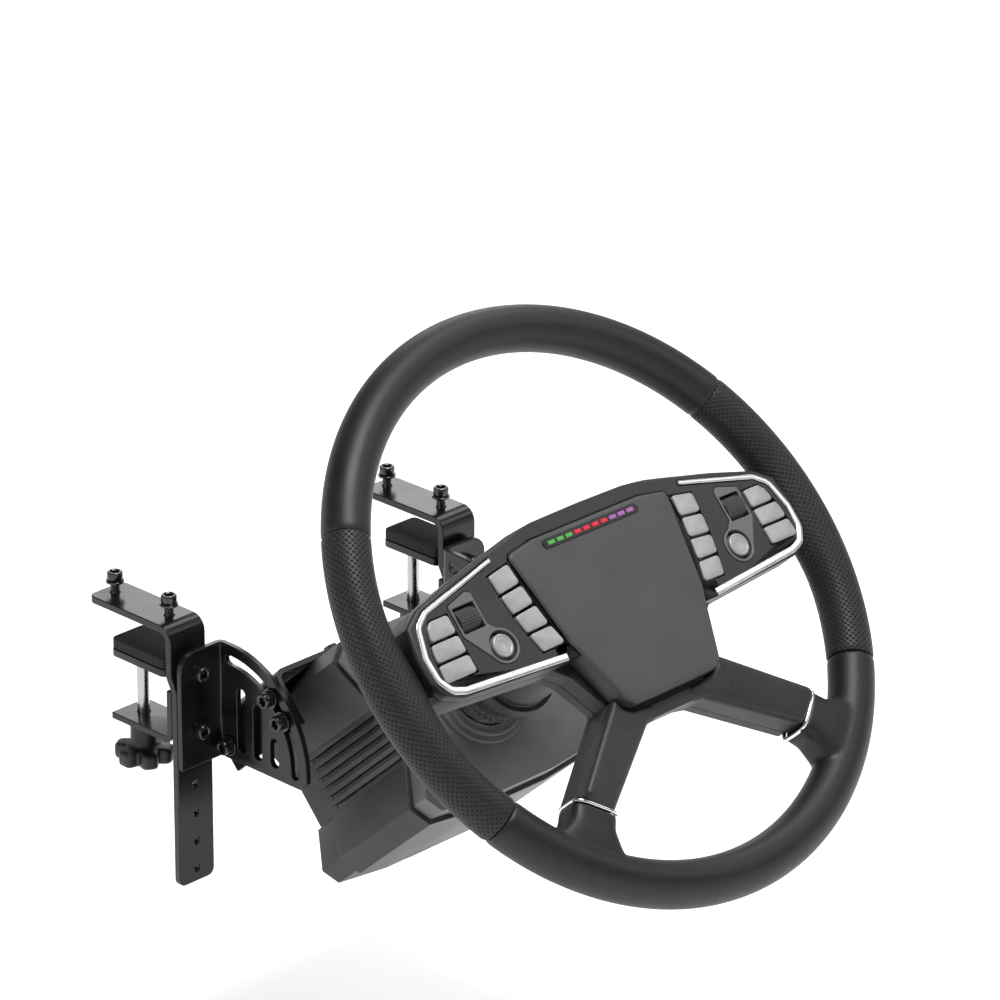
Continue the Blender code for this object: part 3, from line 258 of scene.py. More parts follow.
def link_piece(name, mesh, material, body, replaced=()):
    """The mesh as a piece that rides on a body and takes the given material as its finish."""
    mesh.materials.clear()
    mesh.materials.append(material)
    piece = bpy.data.objects.new(name, mesh)
    bpy.context.scene.collection.objects.link(piece)
    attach(piece, body)
    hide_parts(*replaced)
    return piece


def soften(piece, width, segments, limit=30.0):
    """Breaks the edges that are sharper than the limit."""
    edge = piece.modifiers.new("edges", "BEVEL")
    edge.width = width
    edge.segments = segments
    edge.limit_method = "ANGLE"
    edge.angle_limit = math.radians(limit)
    edge.use_clamp_overlap = False
    edge.harden_normals = True


def dressed(node, material, width=0.0005, segments=2, keep=None, outer=None, fillet=0.0):
    """A copy of a CAD node with its triangles merged and its edges broken to width.

    Faces that keep() turns down are left out, and edges that outer() picks get the fillet.
    """
    source = frame["nodes"][node]
    work = bmesh.new()
    work.from_mesh(source.data)
    bmesh.ops.remove_doubles(work, verts=work.verts, dist=2e-6)
    bmesh.ops.dissolve_limit(work, angle_limit=math.radians(0.4), verts=work.verts, edges=work.edges)
    if keep:
        gone = [face for face in work.faces if not keep(face.calc_center_median())]
        bmesh.ops.delete(work, geom=gone, context="FACES")
    if outer:
        weight = work.edges.layers.float.new("bevel_weight_edge")
        for edge in work.edges:
            edge[weight] = float(outer((edge.verts[0].co + edge.verts[1].co) / 2))
    mesh = bpy.data.meshes.new(node + "_skin")
    work.to_mesh(mesh)
    work.free()
    mesh.shade_smooth()
    mesh.set_sharp_from_angle(angle=math.radians(30))
    piece = link_piece(node + "_skin", mesh, material, source["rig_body"], [node])
    if outer:
        soften(piece, fillet, 6)
        piece.modifiers["edges"].limit_method = "WEIGHT"
        piece.modifiers["edges"].name = "fillet"
    soften(piece, width, segments)
    return piece


black_coat = coated_steel("black_coated_steel")

pad_rubber = Finish("ribbed_rubber", (0.02, 0.02, 0.02), 0.8)
crumb = pad_rubber.noise(0.0008, 3.0)
RIB_PITCH = 0.003
along = pad_rubber.node("SeparateXYZ", sockets={"Vector": pad_rubber.place()}, out="Y")
rib = (along * (2 * math.pi / RIB_PITCH)).math("SINE")
pad_rubber.colour(crumb, (0.014, 0.014, 0.014), (0.032, 0.032, 0.031))
pad_rubber.sheen(crumb, 0.2, 0.8, 0.7, 0.9)
pad_rubber.relief(pad_rubber.ramp(rib, -0.3, 0.6) * 0.8 + crumb * 0.2, 0.0004)

SIDES = {"left": -1, "right": 1}
for word in SIDES:
    dressed(f"hook_bar_{word}", black_coat, 0.0007, 3)
    dressed(f"jaw_bracket_{word}", black_coat, 0.0006, 3)
    dressed(f"clamp_jaw_{word}", black_coat, 0.0005)
    dressed(f"jaw_pad_{word}", pad_rubber.material, 0.0008, 3)

# ======== top screws of the hook bars
# Socket head cap screws of black steel with a knurled head, a hexagon recess and a plain
# washer under it. They stand proud of the bars on a bare threaded shank.
CLAMP_X = 0.1221
BAR_THICK = 0.005
SHANK = 0.003
PITCH = 0.001
THREAD_DEEP = 0.07              # of the shank's radius
THREAD_ROWS = 7                 # to each pitch
HEAD = 0.005
HEAD_TALL = 0.006
HEX_HALF = 0.0026
HEX_DEEP = 0.0034
WASHER = 0.006
WASHER_THICK = 0.0015
BREAK = 0.0002                  # on turned edges
AROUND = 72


def skin(points, along=False):
    """(points, faces) of a grid whose rows are loops: quads between neighbours.

    Its end rows are capped, or joined to each other where it also closes along.
    """
    rows, columns = points.shape[:2]
    index = np.arange(rows * columns).reshape(rows, columns)
    ends = [] if along else [index[0, ::-1].tolist(), index[-1].tolist()]
    index = np.hstack([index, index[:, :1]])
    if along:
        index = np.vstack([index, index[:1]])
    faces = np.stack([index[:-1, :-1], index[:-1, 1:], index[1:, 1:], index[1:, :-1]], -1)
    return points.reshape(-1, 3), faces.reshape(-1, 4).tolist() + ends


def shell_mesh(name, shells, crease=35.0):
    """One mesh of closed shells, all facing out, smooth but for edges sharper than crease."""
    work = bmesh.new()
    for points, faces in shells:
        verts = [work.verts.new(point) for point in points]
        for face in faces:
            work.faces.new([verts[i] for i in face])
    bmesh.ops.recalc_face_normals(work, faces=work.faces)
    mesh = bpy.data.meshes.new(name)
    work.to_mesh(mesh)
    work.free()
    mesh.shade_smooth()
    mesh.set_sharp_from_angle(angle=math.radians(crease))
    return mesh


def add_piece(name, shells, material, body, replaced=(), crease=35.0):
    """A piece that is made of closed shells, as shell_mesh and link_piece make it."""
    return link_piece(name, shell_mesh(name, shells, crease), material, body, replaced)


def lathe(profile, around=AROUND, shape=None):
    """Rows of points at (radius, height) round an axis.

    shape(angle, row, height) scales the radius.
    """
    profile = np.array(profile, float)
    angle = np.linspace(0, 2 * math.pi, around, endpoint=False)
    radius = np.repeat(profile[:, :1], around, 1)
    if shape:
        radius = radius * shape(angle[None, :], np.arange(len(profile))[:, None], profile[:, 1:])
    height = np.repeat(profile[:, 1:], around, 1)
    return np.stack([radius * np.cos(angle), radius * np.sin(angle), height], -1)


def seat(points, origin, axis, first=(1, 0, 0)):
    """Points moved so that their third direction is the axis and their first lies along first."""
    third = np.array(axis, float) / np.linalg.norm(axis)
    one = np.array(first, float) - np.dot(first, third) * third
    if np.linalg.norm(one) < 1e-6:
        one = np.array((third[1], third[2], third[0]))
        one -= np.dot(one, third) * third
    one /= np.linalg.norm(one)
    return points @ np.array([one, np.cross(third, one), third]) + np.array(origin, float)


def step(radius, low, high, cut):
    """A turned step from low to high whose two edges are broken by cut."""
    return [(radius - cut, low), (radius, low + cut), (radius, high - cut), (radius - cut, high)]


def hexagon(angle, _row=None, _height=None):
    """1 / cos of the angle from the middle of the nearest of six flats."""
    sixth = math.pi / 3
    return 1 / np.cos(np.mod(angle + sixth / 2, sixth) - sixth / 2)


def screw_rows(below, washer=WASHER, thick=WASHER_THICK, head=HEAD, tall=HEAD_TALL,
               key=HEX_HALF, deep=HEX_DEEP):
    """A cap screw: a threaded shank from its seat down to -below, a washer, and a head.

    The shank's radius falls and rises once per pitch along a helix; the head's socket has
    the radius of a hexagon, key / cos of the angle from the nearest flat's middle.
    """
    count = max(2, int(below / PITCH * THREAD_ROWS))
    thread = [(SHANK, z) for z in np.linspace(-below, -0.0001, count)]
    base = thick if washer else 0.0
    top = base + tall
    rest = step(washer, 0.0, thick, BREAK) if washer else []
    rest += [
        (head - BREAK, base), (head, base + 0.0003), (head, top - 0.0009), (head - BREAK, top - 0.0004),
        (head - 0.0007, top), (key + 0.0009, top), (key + 0.0005, top - 0.0003),
        (key, top - 0.0006), (key, top - deep), (key * 0.3, top - deep - 0.0005),
    ]
    socket = len(thread) + len(rest) - 3
    knurl = len(thread) + len(rest) - 8

    def shape(angle, row, height):
        """The thread's cut, the knurl's ridges, or the hexagon, whichever the row is part of."""
        wave = np.abs(np.mod(height / PITCH - angle / (2 * math.pi), 1.0) * 2 - 1)
        scale = np.where(row < len(thread), 1 - THREAD_DEEP * (1 - wave), 1.0)
        ridge = 0.012 * np.cos(36 * angle)
        scale = np.where((row == knurl) | (row == knurl - 1), 1 - ridge, scale)
        return np.where(row >= socket, hexagon(angle), scale)

    return lathe(thread + rest, AROUND, shape)


def screw_finish():
    """Black oxide on steel: dark and satin, a little lighter where the coat is rubbed."""
    finish = Finish("black_oxide_screw", (0.05, 0.05, 0.052), 0.22, 0.85)
    rub = finish.noise(0.0012, 4.0, 0.65)
    finish.colour(finish.ramp(rub, 0.45, 0.8), (0.06, 0.06, 0.062), (0.15, 0.15, 0.154))
    finish.sheen(rub, 0.3, 0.7, 0.13, 0.26)
    finish.relief(finish.noise(0.0004, 2.0), 0.00002)
    return finish.material


oxide = screw_finish()
TOP_SCREWS = {"front": 0.0121, "rear": 0.0628}
SCREW_STAND = 0.007
for word, side in SIDES.items():
    for place, reach in TOP_SCREWS.items():
        rows = screw_rows(BAR_THICK + SCREW_STAND - 0.0004)
        points = seat(rows, (side * CLAMP_X, reach, BAR_THICK + SCREW_STAND), (0, 0, 1))
        name = f"top_screw_{word}_{place}"
        add_piece(name + "_turned", [skin(points)], oxide, "clamps", [name])

# ======== clamp spindles and their star knobs
# A bright plain rod under each jaw, pressed into a moulded black knob with six soft lobes.
# The knob's boss hangs below the jaw bracket's lower leg.
SPINDLE_REACH = 0.038
SPINDLE_RADIUS = 0.004
JAW_TOP = -0.0256
JAW_THICK = 0.0052
BOSS_TOP = -0.0758
BOSS_RADIUS = 0.009
BOSS_TALL = 0.018
KNOB_RADIUS = 0.0175
KNOB_LOBE = 0.0028 / KNOB_RADIUS
KNOB_TALL = 0.011


def knob_plastic():
    """Glass-filled moulded plastic with a fine spark-eroded grain and slightly rubbed lobes."""
    finish = Finish("knob_plastic", (0.018, 0.018, 0.018), 0.42)
    grain = finish.noise(0.0005, 3.0)
    rub = finish.noise(0.008, 2.0)
    finish.colour(rub, (0.014, 0.014, 0.014), (0.026, 0.026, 0.026))
    finish.sheen(rub + grain * 0.4, 0.4, 1.0, 0.34, 0.5)
    finish.relief(grain, 0.00006)
    return finish.material


def clouded(name, fine, coarse, dark, light, shares, rough, depth, metallic=0.0, steep=False):
    """Grain and clouds from dark to light and from one roughness to the other; the grain is raised.

    shares are the grain's shares in the colour and in the roughness, and the clouds have
    the rest. A steep finish keeps more of both colours.
    """
    finish = Finish(name, light, rough[0], metallic)
    grain = finish.noise(*fine)
    cloud = finish.noise(*coarse)
    tone, sheen = [grain * share + cloud * (1 - share) for share in shares]
    finish.colour(finish.ramp(tone, 0.3, 0.7) if steep else tone, dark, light)
    finish.sheen(sheen, 0.3, 0.7, *rough)
    finish.relief(grain, depth)
    return finish.material


knob_black = knob_plastic()
# Ground steel: fine scratches and a faint haze.
steel_bright = clouded("bright_steel", (0.0003, 2.0), (0.006, 3.0), (0.42, 0.42, 0.43), (0.56, 0.56, 0.57),
                       (0.0, 0.2), (0.24, 0.30), 0.000002, 1.0)
drop = BOSS_TOP - BOSS_TALL
foot = drop - KNOB_TALL
knob_profile = [
    (0.0042, BOSS_TOP - 0.0006), (BOSS_RADIUS - 0.0012, BOSS_TOP),
    (BOSS_RADIUS - 0.0003, BOSS_TOP - 0.0004), (BOSS_RADIUS, BOSS_TOP - 0.0014),
    (BOSS_RADIUS, drop + 0.002), (BOSS_RADIUS + 0.0006, drop + 0.0008), (BOSS_RADIUS + 0.002, drop),
    (KNOB_RADIUS - 0.003, drop), (KNOB_RADIUS - 0.001, drop - 0.0006), (KNOB_RADIUS - 0.0002, drop - 0.0018),
    (KNOB_RADIUS, drop - 0.0035), (KNOB_RADIUS, foot + 0.0035), (KNOB_RADIUS - 0.0003, foot + 0.0016),
    (KNOB_RADIUS - 0.0012, foot + 0.0005), (KNOB_RADIUS - 0.003, foot), (0.011, foot),
    (0.0102, foot + 0.0004), (0.0094, foot + 0.0015), (0.0045, foot + 0.0018),
]


def lobes(angle, row, _height):
    """The knob's rows swell and shrink six times round it; the boss stays round."""
    deep = KNOB_LOBE * np.cos(6 * angle) - 0.35 * KNOB_LOBE * np.cos(12 * angle)
    return np.where((row >= 7) & (row <= 14), 1 + deep, 1.0)


rod_top = JAW_TOP - JAW_THICK - 0.0003
rod_profile = [
    (SPINDLE_RADIUS, BOSS_TOP - 0.002), (SPINDLE_RADIUS, rod_top - 0.0006),
    (SPINDLE_RADIUS - 0.0006, rod_top),
]
for word, side in SIDES.items():
    foot_point = (side * CLAMP_X, SPINDLE_REACH, 0)
    rod = seat(lathe(rod_profile, 64), foot_point, (0, 0, 1))
    add_piece(f"spindle_rod_{word}", [skin(rod)], steel_bright, f"spindle_{word}")
    knob = seat(lathe(knob_profile, 144, lobes), foot_point, (0, 0, 1))
    add_piece(f"spindle_knob_{word}", [skin(knob)], knob_black, f"spindle_{word}",
              [f"clamp_spindle_{word}"], 50)

# ======== sector brackets with their bracket screws
# A folded 4 mm plate: one flange lies on the clamp, held by two cap screws, and the other
# is a quarter disc with the tilt slot and three long slots that make it lighter.
PLATE_FRONT = -0.0143
SCREW_LEVELS = (-0.0265, -0.0665)


def beside_heads(point):
    """True away from the fused heads of the bracket screws, which the turned ones replace."""
    return point.y > PLATE_FRONT - 0.0004 or abs(abs(point.x) - CLAMP_X) > HEAD + 0.001


for word, side in SIDES.items():
    dressed(f"sector_bracket_{word}", black_coat, 0.0006, 3, beside_heads)
    shells = []
    for height in SCREW_LEVELS:
        rows = screw_rows(0.001, washer=0.0)
        shells.append(skin(seat(rows, (side * CLAMP_X, PLATE_FRONT, height), (0, -1, 0))))
    add_piece(f"bracket_screws_{word}", shells, oxide, "clamps")

# ======== cradle, slot screws, mount screws and pivot screws
# A folded 4 mm plate that holds the motor base under its top skin. Two screws on each
# side clamp it in the tilt slots, and one on each side is the pivot that it turns on.
TILT = math.radians(47.8)
PIVOT = np.array((0.0, -0.022, -0.081))
PIVOT_RISE = 0.049
PIVOT_REACH = 0.263
UP_FACE = np.array((0.0, math.cos(TILT), math.sin(TILT)))
OUT_FACE = np.array((0.0, -math.sin(TILT), math.cos(TILT)))
HUB = PIVOT - PIVOT_RISE * UP_FACE + PIVOT_REACH * OUT_FACE
WASHER_AT = 0.1033
TILT_WASHER = 0.0066
CRADLE_TOP = 0.071
SLOT_RADIUS = 0.0595
SLOT_SPREAD = math.radians(8.0)
MOUNT_X = 0.040
MOUNT_DEPTHS = (0.205, 0.245)


def on_wheel(points):
    """Points given as right, up the wheel's face and out of it, from the wheel's centre."""
    return np.asarray(points, float) @ np.array([(1.0, 0.0, 0.0), UP_FACE, OUT_FACE]) + HUB


def wheel_height(point):
    """How far a point lies up the wheel's face."""
    return (np.array(point) - HUB) @ UP_FACE


def bare_cradle(point):
    """True away from the fused screws, which the turned ones replace."""
    return abs(point.x) < WASHER_AT - 0.0006 and wheel_height(point) < CRADLE_TOP + 0.0004


dressed("cradle", black_coat, 0.0006, 3, bare_cradle)
shells = []
for side in SIDES.values():
    for spread in (-SLOT_SPREAD, SLOT_SPREAD):
        middle = (side * WASHER_AT, PIVOT_RISE + SLOT_RADIUS * math.sin(spread),
                  -PIVOT_REACH + SLOT_RADIUS * math.cos(spread))
        rows = screw_rows(0.008, TILT_WASHER)
        shells.append(skin(seat(rows, on_wheel(middle), (side, 0, 0), UP_FACE)))
    for depth in MOUNT_DEPTHS:
        rows = screw_rows(0.001, 0.0, 0.0, 0.0045, 0.003, 0.0017, 0.0018)
        shells.append(skin(seat(rows, on_wheel((side * MOUNT_X, CRADLE_TOP, -depth)), UP_FACE)))
add_piece("cradle_screws", shells, oxide, "base")
nut_profile = [(0.0042, -0.0137), (0.0047, -0.0137), (0.0049, -0.0134), (0.0049, -0.009), (0.0042, -0.0088)]
turned = (screw_rows(0.0138, TILT_WASHER), lathe(nut_profile, AROUND, hexagon))
for word, side in SIDES.items():
    shells = [skin(seat(grid, PIVOT + (side * WASHER_AT, 0, 0), (side, 0, 0))) for grid in turned]
    name = f"pivot_screw_{word}"
    add_piece(name + "_turned", shells, oxide, "base", [name])

# ======== motor base: finned housing, covers, collar, board and ports
# An extruded aluminium housing with cooling fins down both sides, blasted and anodised
# dark grey, between a machined front cover and a rear cover with the ports.


def anodised(name, dark, light, rough):
    """Blasted and anodised aluminium: a fine even tooth and slight clouds in the dye."""
    return clouded(name, (0.00045, 2.0), (0.02, 3.0), dark, light, (0.4, 0.5), rough, 0.00004, 0.35, True)


dark_anodised = anodised("dark_anodised_aluminium", (0.050, 0.051, 0.053), (0.072, 0.073, 0.075),
                         (0.35, 0.47))
# The front cover and its collar take a lighter copy of the housing's anodised finish; their lighter grey is
# a painted highlight for the light that the front face catches.
painted_highlight_anodised = anodised("painted_highlight_anodised_aluminium", (0.19, 0.19, 0.192), (0.24, 0.24, 0.242),
                         (0.31, 0.43))
COVER_FRONT = -0.148
COLLAR = 0.0346
COLLAR_LIP = 0.031
COLLAR_RECESS = 0.0243
COLLAR_FRONT = -0.141
LIP_LEVEL = COLLAR_FRONT - 0.0035
RECESS_LEVEL = COLLAR_FRONT - 0.004
SHAFT_HOLE = 0.0103
STEP = 0.00025


def off_collar(point):
    """True off the faceted collar, which the turned one replaces."""
    local = np.array(point) - HUB
    reach = math.hypot(local[0], local @ UP_FACE)
    return local @ OUT_FACE < COVER_FRONT + 0.0003 or reach > COLLAR + 0.001


dressed("base_housing", dark_anodised, 0.0005, 2)
dressed("base_front_cover", painted_highlight_anodised, 0.0008, 3, off_collar)
dressed("base_rear_cover", dark_anodised, 0.0008, 3)
collar_profile = [(COLLAR, COVER_FRONT - 0.001)]
for radius, low, high in ((COLLAR, COVER_FRONT, LIP_LEVEL), (COLLAR_LIP, LIP_LEVEL, COLLAR_FRONT)):
    collar_profile += [(radius, low), (radius, high - STEP), (radius - STEP, high)]
collar_profile += [
    (0.0285, COLLAR_FRONT), (0.0283, COLLAR_FRONT - 0.0005), (0.0279, COLLAR_FRONT - 0.0005),
    (0.0277, COLLAR_FRONT), (COLLAR_RECESS + STEP, COLLAR_FRONT), (COLLAR_RECESS, COLLAR_FRONT - STEP),
    (COLLAR_RECESS, RECESS_LEVEL), (SHAFT_HOLE, RECESS_LEVEL), (SHAFT_HOLE, COVER_FRONT - 0.001),
]
collar = skin(on_wheel(lathe(collar_profile, 128)), along=True)
add_piece("base_collar", [collar], painted_highlight_anodised, "base")

stator = frame["nodes"]["motor_stator"].data
stator.materials.clear()
stator.materials.append(clouded("winding_and_iron", (0.0015, 4.0), (0.02,), (0.14, 0.10, 0.08),
                                (0.42, 0.20, 0.09), (1.0, 1.0), (0.35, 0.6), 0.0003, 0.7))
board_black = clouded("board_and_sockets", (0.002, 3.0), (0.02,), (0.016, 0.016, 0.018),
                      (0.03, 0.03, 0.033), (1.0, 1.0), (0.4, 0.6), 0.0001)
SOCKETS = ((-0.030, 0.006), (-0.008, 0.0045), (0.012, 0.0045), (0.032, 0.0065))
SOCKET_LEVEL = -0.0295
SOCKET_HALF = 0.0040
PORT_BACK = -0.2737
PORT_FLOOR = -0.2685
RIM_WALL = 0.0009               # of a port's shell


def inside_ports(point):
    """True off the flat backs of the solid sockets, which the hollow ports replace."""
    return (np.array(point) - HUB) @ OUT_FACE > PORT_BACK + 0.0002


def unit(rows):
    """Each row divided by its length."""
    return rows / np.linalg.norm(rows, axis=1)[:, None]


def corner_reach(back, ahead, radius):
    """Half of each corner's angle, and how far its arc reaches: radius / tan of that half."""
    length = np.minimum(np.linalg.norm(back, axis=1), np.linalg.norm(ahead, axis=1))
    half = np.arccos(np.clip((unit(back) * unit(ahead)).sum(1), -1, 1)) / 2
    return half, np.minimum(radius / np.tan(half), 0.48 * length)


def rounded(corners, radius, steps=8):
    """A polygon, anticlockwise, whose corners are arcs.

    Each arc's middle lies on the corner's bisector, radius / sin(half the corner) from it.
    """
    here = np.array(corners, float)
    if np.sum(here[:, 0] * np.roll(here[:, 1], -1) - np.roll(here[:, 0], -1) * here[:, 1]) < 0:
        here = here[::-1]
    back = np.roll(here, 1, 0) - here
    ahead = np.roll(here, -1, 0) - here
    half, reach = corner_reach(back, ahead, radius)
    bend = reach * np.tan(half)
    centre = here + unit(unit(back) + unit(ahead)) * (bend / np.sin(half))[:, None]
    first = here + unit(back) * reach[:, None] - centre
    last = here + unit(ahead) * reach[:, None] - centre
    start = np.arctan2(first[:, 1], first[:, 0])
    turn = np.arctan2(last[:, 1], last[:, 0]) - start
    turn -= 2 * math.pi * np.round(turn / (2 * math.pi))
    angle = start[:, None] + turn[:, None] * np.linspace(0, 1, steps + 1)
    arcs = centre[:, None] + bend[:, None, None] * np.stack([np.cos(angle), np.sin(angle)], -1)
    return arcs.reshape(-1, 2)


def inset(outline, amount):
    """The anticlockwise outline moved inwards, each point along its mitre."""
    back = outline - np.roll(outline, 1, 0)
    ahead = np.roll(outline, -1, 0) - outline
    one = unit(np.stack([-back[:, 1], back[:, 0]], -1))
    two = unit(np.stack([-ahead[:, 1], ahead[:, 0]], -1))
    return outline + amount * (one + two) / (1 + (one * two).sum(1))[:, None]


def box(width, height):
    """The corners of a rectangle about the origin, from its half width and half height."""
    return np.array([(-width, -height), (width, -height), (width, height), (-width, height)])


def stacked(rings):
    """A grid of points from (outline, height) pairs."""
    return np.stack([np.column_stack([ring, np.full(len(ring), height)]) for ring, height in rings])


dressed("driver_board", board_black, 0.0002, 1, inside_ports)
shells = []
for along, half in SOCKETS:
    middle = (along, SOCKET_LEVEL)
    mouth = rounded(box(half, SOCKET_HALF) + middle, 0.0012, 4)
    rings = ((0.0, -0.2700), (0.0, PORT_BACK), (0.0007, PORT_BACK), (RIM_WALL, PORT_BACK + 0.0002),
             (RIM_WALL, PORT_FLOOR))
    grid = stacked([(inset(mouth, deep), height) for deep, height in rings])
    shells.append(skin(on_wheel(grid)))
    tongue = rounded(box(0.55 * half, 0.2 * SOCKET_HALF) + middle, 0.0003, 2)
    grid = stacked([(tongue, PORT_FLOOR + 0.0001), (tongue, -0.2722)])
    shells.append(skin(on_wheel(grid)))
add_piece("base_ports", shells, steel_bright, "base")

# ======== shaft, wheel adapter and lock ring
# The bright motor shaft ends in a flange and a spigot. The wheel's adapter sits on the
# spigot, and a knurled ring that slides on the adapter locks the two together.
SHAFT = 0.010
ROTOR = (0.0334, -0.2335, -0.1775)      # radius, rear and front, as in the next ones
FLANGE = (0.0237, -0.1445, -0.133)
SPIGOT = (0.015, -0.133, -0.118)
ADAPTER = 0.027
ADAPTER_FRONT = -0.0063
ADAPTER_GROOVE = -0.031
ADAPTER_LIP = (0.031, -0.112, -0.104)
ADAPTER_TAIL = (0.020, -0.1327, -0.112)
ADAPTER_BORE = (0.0153, -0.1177)
RING = (0.027, -0.131, -0.116)
RING_BORE = 0.0204
RING_WAIST = (0.0262, -0.1258, -0.1212)
RING_GRIPS = 40
GRIP_DEEP = 0.03
shaft_profile = [
    (SHAFT, -0.260), (SHAFT, ROTOR[1]), (ROTOR[0], ROTOR[1]), (ROTOR[0], ROTOR[2]), (SHAFT, ROTOR[2]),
    (SHAFT, FLANGE[1]), *step(*FLANGE, 0.0003), (SPIGOT[0], FLANGE[2]), *step(*SPIGOT, 0.0005)[2:],
]
shaft = skin(on_wheel(lathe(shaft_profile, 96)))
add_piece("shaft_turned", [shaft], steel_bright, "wheel", ["motor_rotor"])
adapter_profile = [
    (ADAPTER - 0.0005, ADAPTER_FRONT), (ADAPTER, ADAPTER_FRONT - 0.0005), (ADAPTER, ADAPTER_GROOVE + 0.001),
    (ADAPTER - 0.0004, ADAPTER_GROOVE + 0.0006), (ADAPTER - 0.0004, ADAPTER_GROOVE - 0.0006),
    (ADAPTER, ADAPTER_GROOVE - 0.001), (ADAPTER, ADAPTER_LIP[2] + 0.0004),
    (ADAPTER + 0.0004, ADAPTER_LIP[2]), *step(*ADAPTER_LIP, 0.0005)[::-1],
    (ADAPTER_TAIL[0], ADAPTER_LIP[1]), *step(*ADAPTER_TAIL, 0.0005)[1::-1],
    (ADAPTER_BORE[0], ADAPTER_TAIL[1]), ADAPTER_BORE,
]
adapter = skin(on_wheel(lathe(adapter_profile, 96)))
add_piece("adapter_turned", [adapter], dark_anodised, "wheel", ["wheel_adapter"])
ring_profile = [
    (RING_BORE, RING[2]), (RING_WAIST[0], RING[2]), (RING[0] - BREAK, RING[2] - 0.0006),
    (RING[0], RING[2] - 0.0015), (RING[0], RING_WAIST[2] + 0.0007), (RING_WAIST[0], RING_WAIST[2]),
    (RING_WAIST[0], RING_WAIST[1]), (RING[0], RING_WAIST[1] - 0.0007), (RING[0], RING[1] + 0.0015),
    (RING[0] - BREAK, RING[1] + 0.0006), (RING_WAIST[0], RING[1]), (RING_BORE, RING[1]),
]


def grips(angle, row, _height):
    """Two bands of the ring rise and fall forty times round it."""
    band = ((row >= 3) & (row <= 4)) | ((row >= 7) & (row <= 8))
    return np.where(band, 1 - GRIP_DEEP * (0.5 - 0.5 * np.cos(RING_GRIPS * angle)), 1.0)


ring = skin(on_wheel(lathe(ring_profile, 240, grips)), along=True)
add_piece("lock_ring_turned", [ring], dark_anodised, "lock_ring", ["lock_ring"])

# ======== cast frame and back cover of the wheel
# The cast aluminium frame is painted black and shows only as a line round the wheel's
# body. The moulded cover screws on to its back round the adapter.


# Black moulded plastic with an etched grain and a slightly uneven sheen.
cover_black = clouded("moulded_black_plastic", (0.0007, 3.0, 0.6), (0.015, 2.0), (0.013, 0.013, 0.014),
                      (0.027, 0.027, 0.028), (0.4, 0.5), (0.40, 0.52), 0.00008)
dressed("wheel_frame", cover_black, 0.0004, 2)
dressed("wheel_back_cover", cover_black, 0.0024, 4)
COVER_BACK = -0.0163
COVER_SCREWS = (
    (0.0, 0.047), (-0.125, 0.028), (0.125, 0.028), (-0.125, -0.010), (0.125, -0.010),
    (-0.083, -0.094), (0.083, -0.094),
)
shells = []
for along, height in COVER_SCREWS:
    rows = screw_rows(0.0008, 0.0, 0.0, 0.0028, 0.0007, 0.0012, 0.0006)
    shells.append(skin(seat(rows, on_wheel((along, height, COVER_BACK)), -OUT_FACE)))
add_piece("back_cover_screws", shells, oxide, "wheel")

# ======== rim: leather arcs, perforated grips and the lower shoulders
# Foam over the frame's hoop, wrapped in four pieces of black leather. The two grips are
# perforated. The lower piece also covers the ends of the two spokes as soft shoulders.
RIM_RADIUS = 0.185
RIM_TUBE = 0.015
GRIP_HALF = math.radians(31.0)
SEAM_HALF = math.radians(0.06)
SEAM_DEPTH = 0.0007
SEAM_REACH = 0.0011
PEBBLES = 1100.0                # to the metre
HOLE_CELL = 0.00377
HOLE_RADIUS = 0.19              # of a cell
FLARE = 0.006
FLARE_REACH = 0.028


def leather(name, holes=False):
    """Black leather: pebbles under a fine crackle, a soft sheen, and punched holes on the grips whose
    near-black is painted shade.
    """
    finish = Finish(name, (0.012, 0.012, 0.012), 0.40)
    finish.surface.inputs["Specular IOR Level"].default_value = 0.5
    sockets = {"Vector": finish.place(), "Scale": PEBBLES}
    pebble = finish.node("TexVoronoi", {"feature": "SMOOTH_F1"}, sockets)
    crackle = finish.noise(0.0006, 3.0)
    cloud = finish.noise(0.025, 3.0)
    height = pebble * -0.7 + crackle * 0.3
    dark, light = (0.010, 0.017) if holes else (0.006, 0.011)
    colour = finish.blend(finish.ramp(cloud * 0.6 + crackle * 0.4, 0.3, 0.7), (dark,) * 3, (light,) * 3)
    rough = finish.ramp(cloud * 0.5 + pebble * 0.5, 0.2, 0.7, 0.42, 0.52)
    if holes:
        spot = finish.node("UVMap", {"uv_map": "leather"})
        parts = [finish.node("SeparateXYZ", sockets={"Vector": spot}, out=axis) for axis in ("X", "Y")]
        reach = []
        for shift in (0.0, 0.5):
            offsets = [(part + shift).math("FRACT") - 0.5 for part in parts]
            reach.append((offsets[0] * offsets[0] + offsets[1] * offsets[1]).math("SQRT"))
        nearest = reach[0].math("MINIMUM", reach[1])
        # Each punched hole is real, and its near-black colour is painted shade for the shade inside it.
        hole_and_shade = finish.ramp(nearest, HOLE_RADIUS * 0.8, HOLE_RADIUS * 1.15, 1.0, 0.0)
        colour = finish.blend(hole_and_shade, colour, (0.0008, 0.0008, 0.0008))
        rough = finish.ramp(hole_and_shade, 0.0, 1.0, 0.0, 0.35) + rough
        height = height * 0.12 - finish.ramp(nearest, HOLE_RADIUS * 0.9, HOLE_RADIUS * 1.5, 1.0, 0.0)
    finish.set("Base Color", colour)
    finish.set("Roughness", rough)
    finish.relief(height, 0.00025 if holes else 0.00010)
    return finish.material


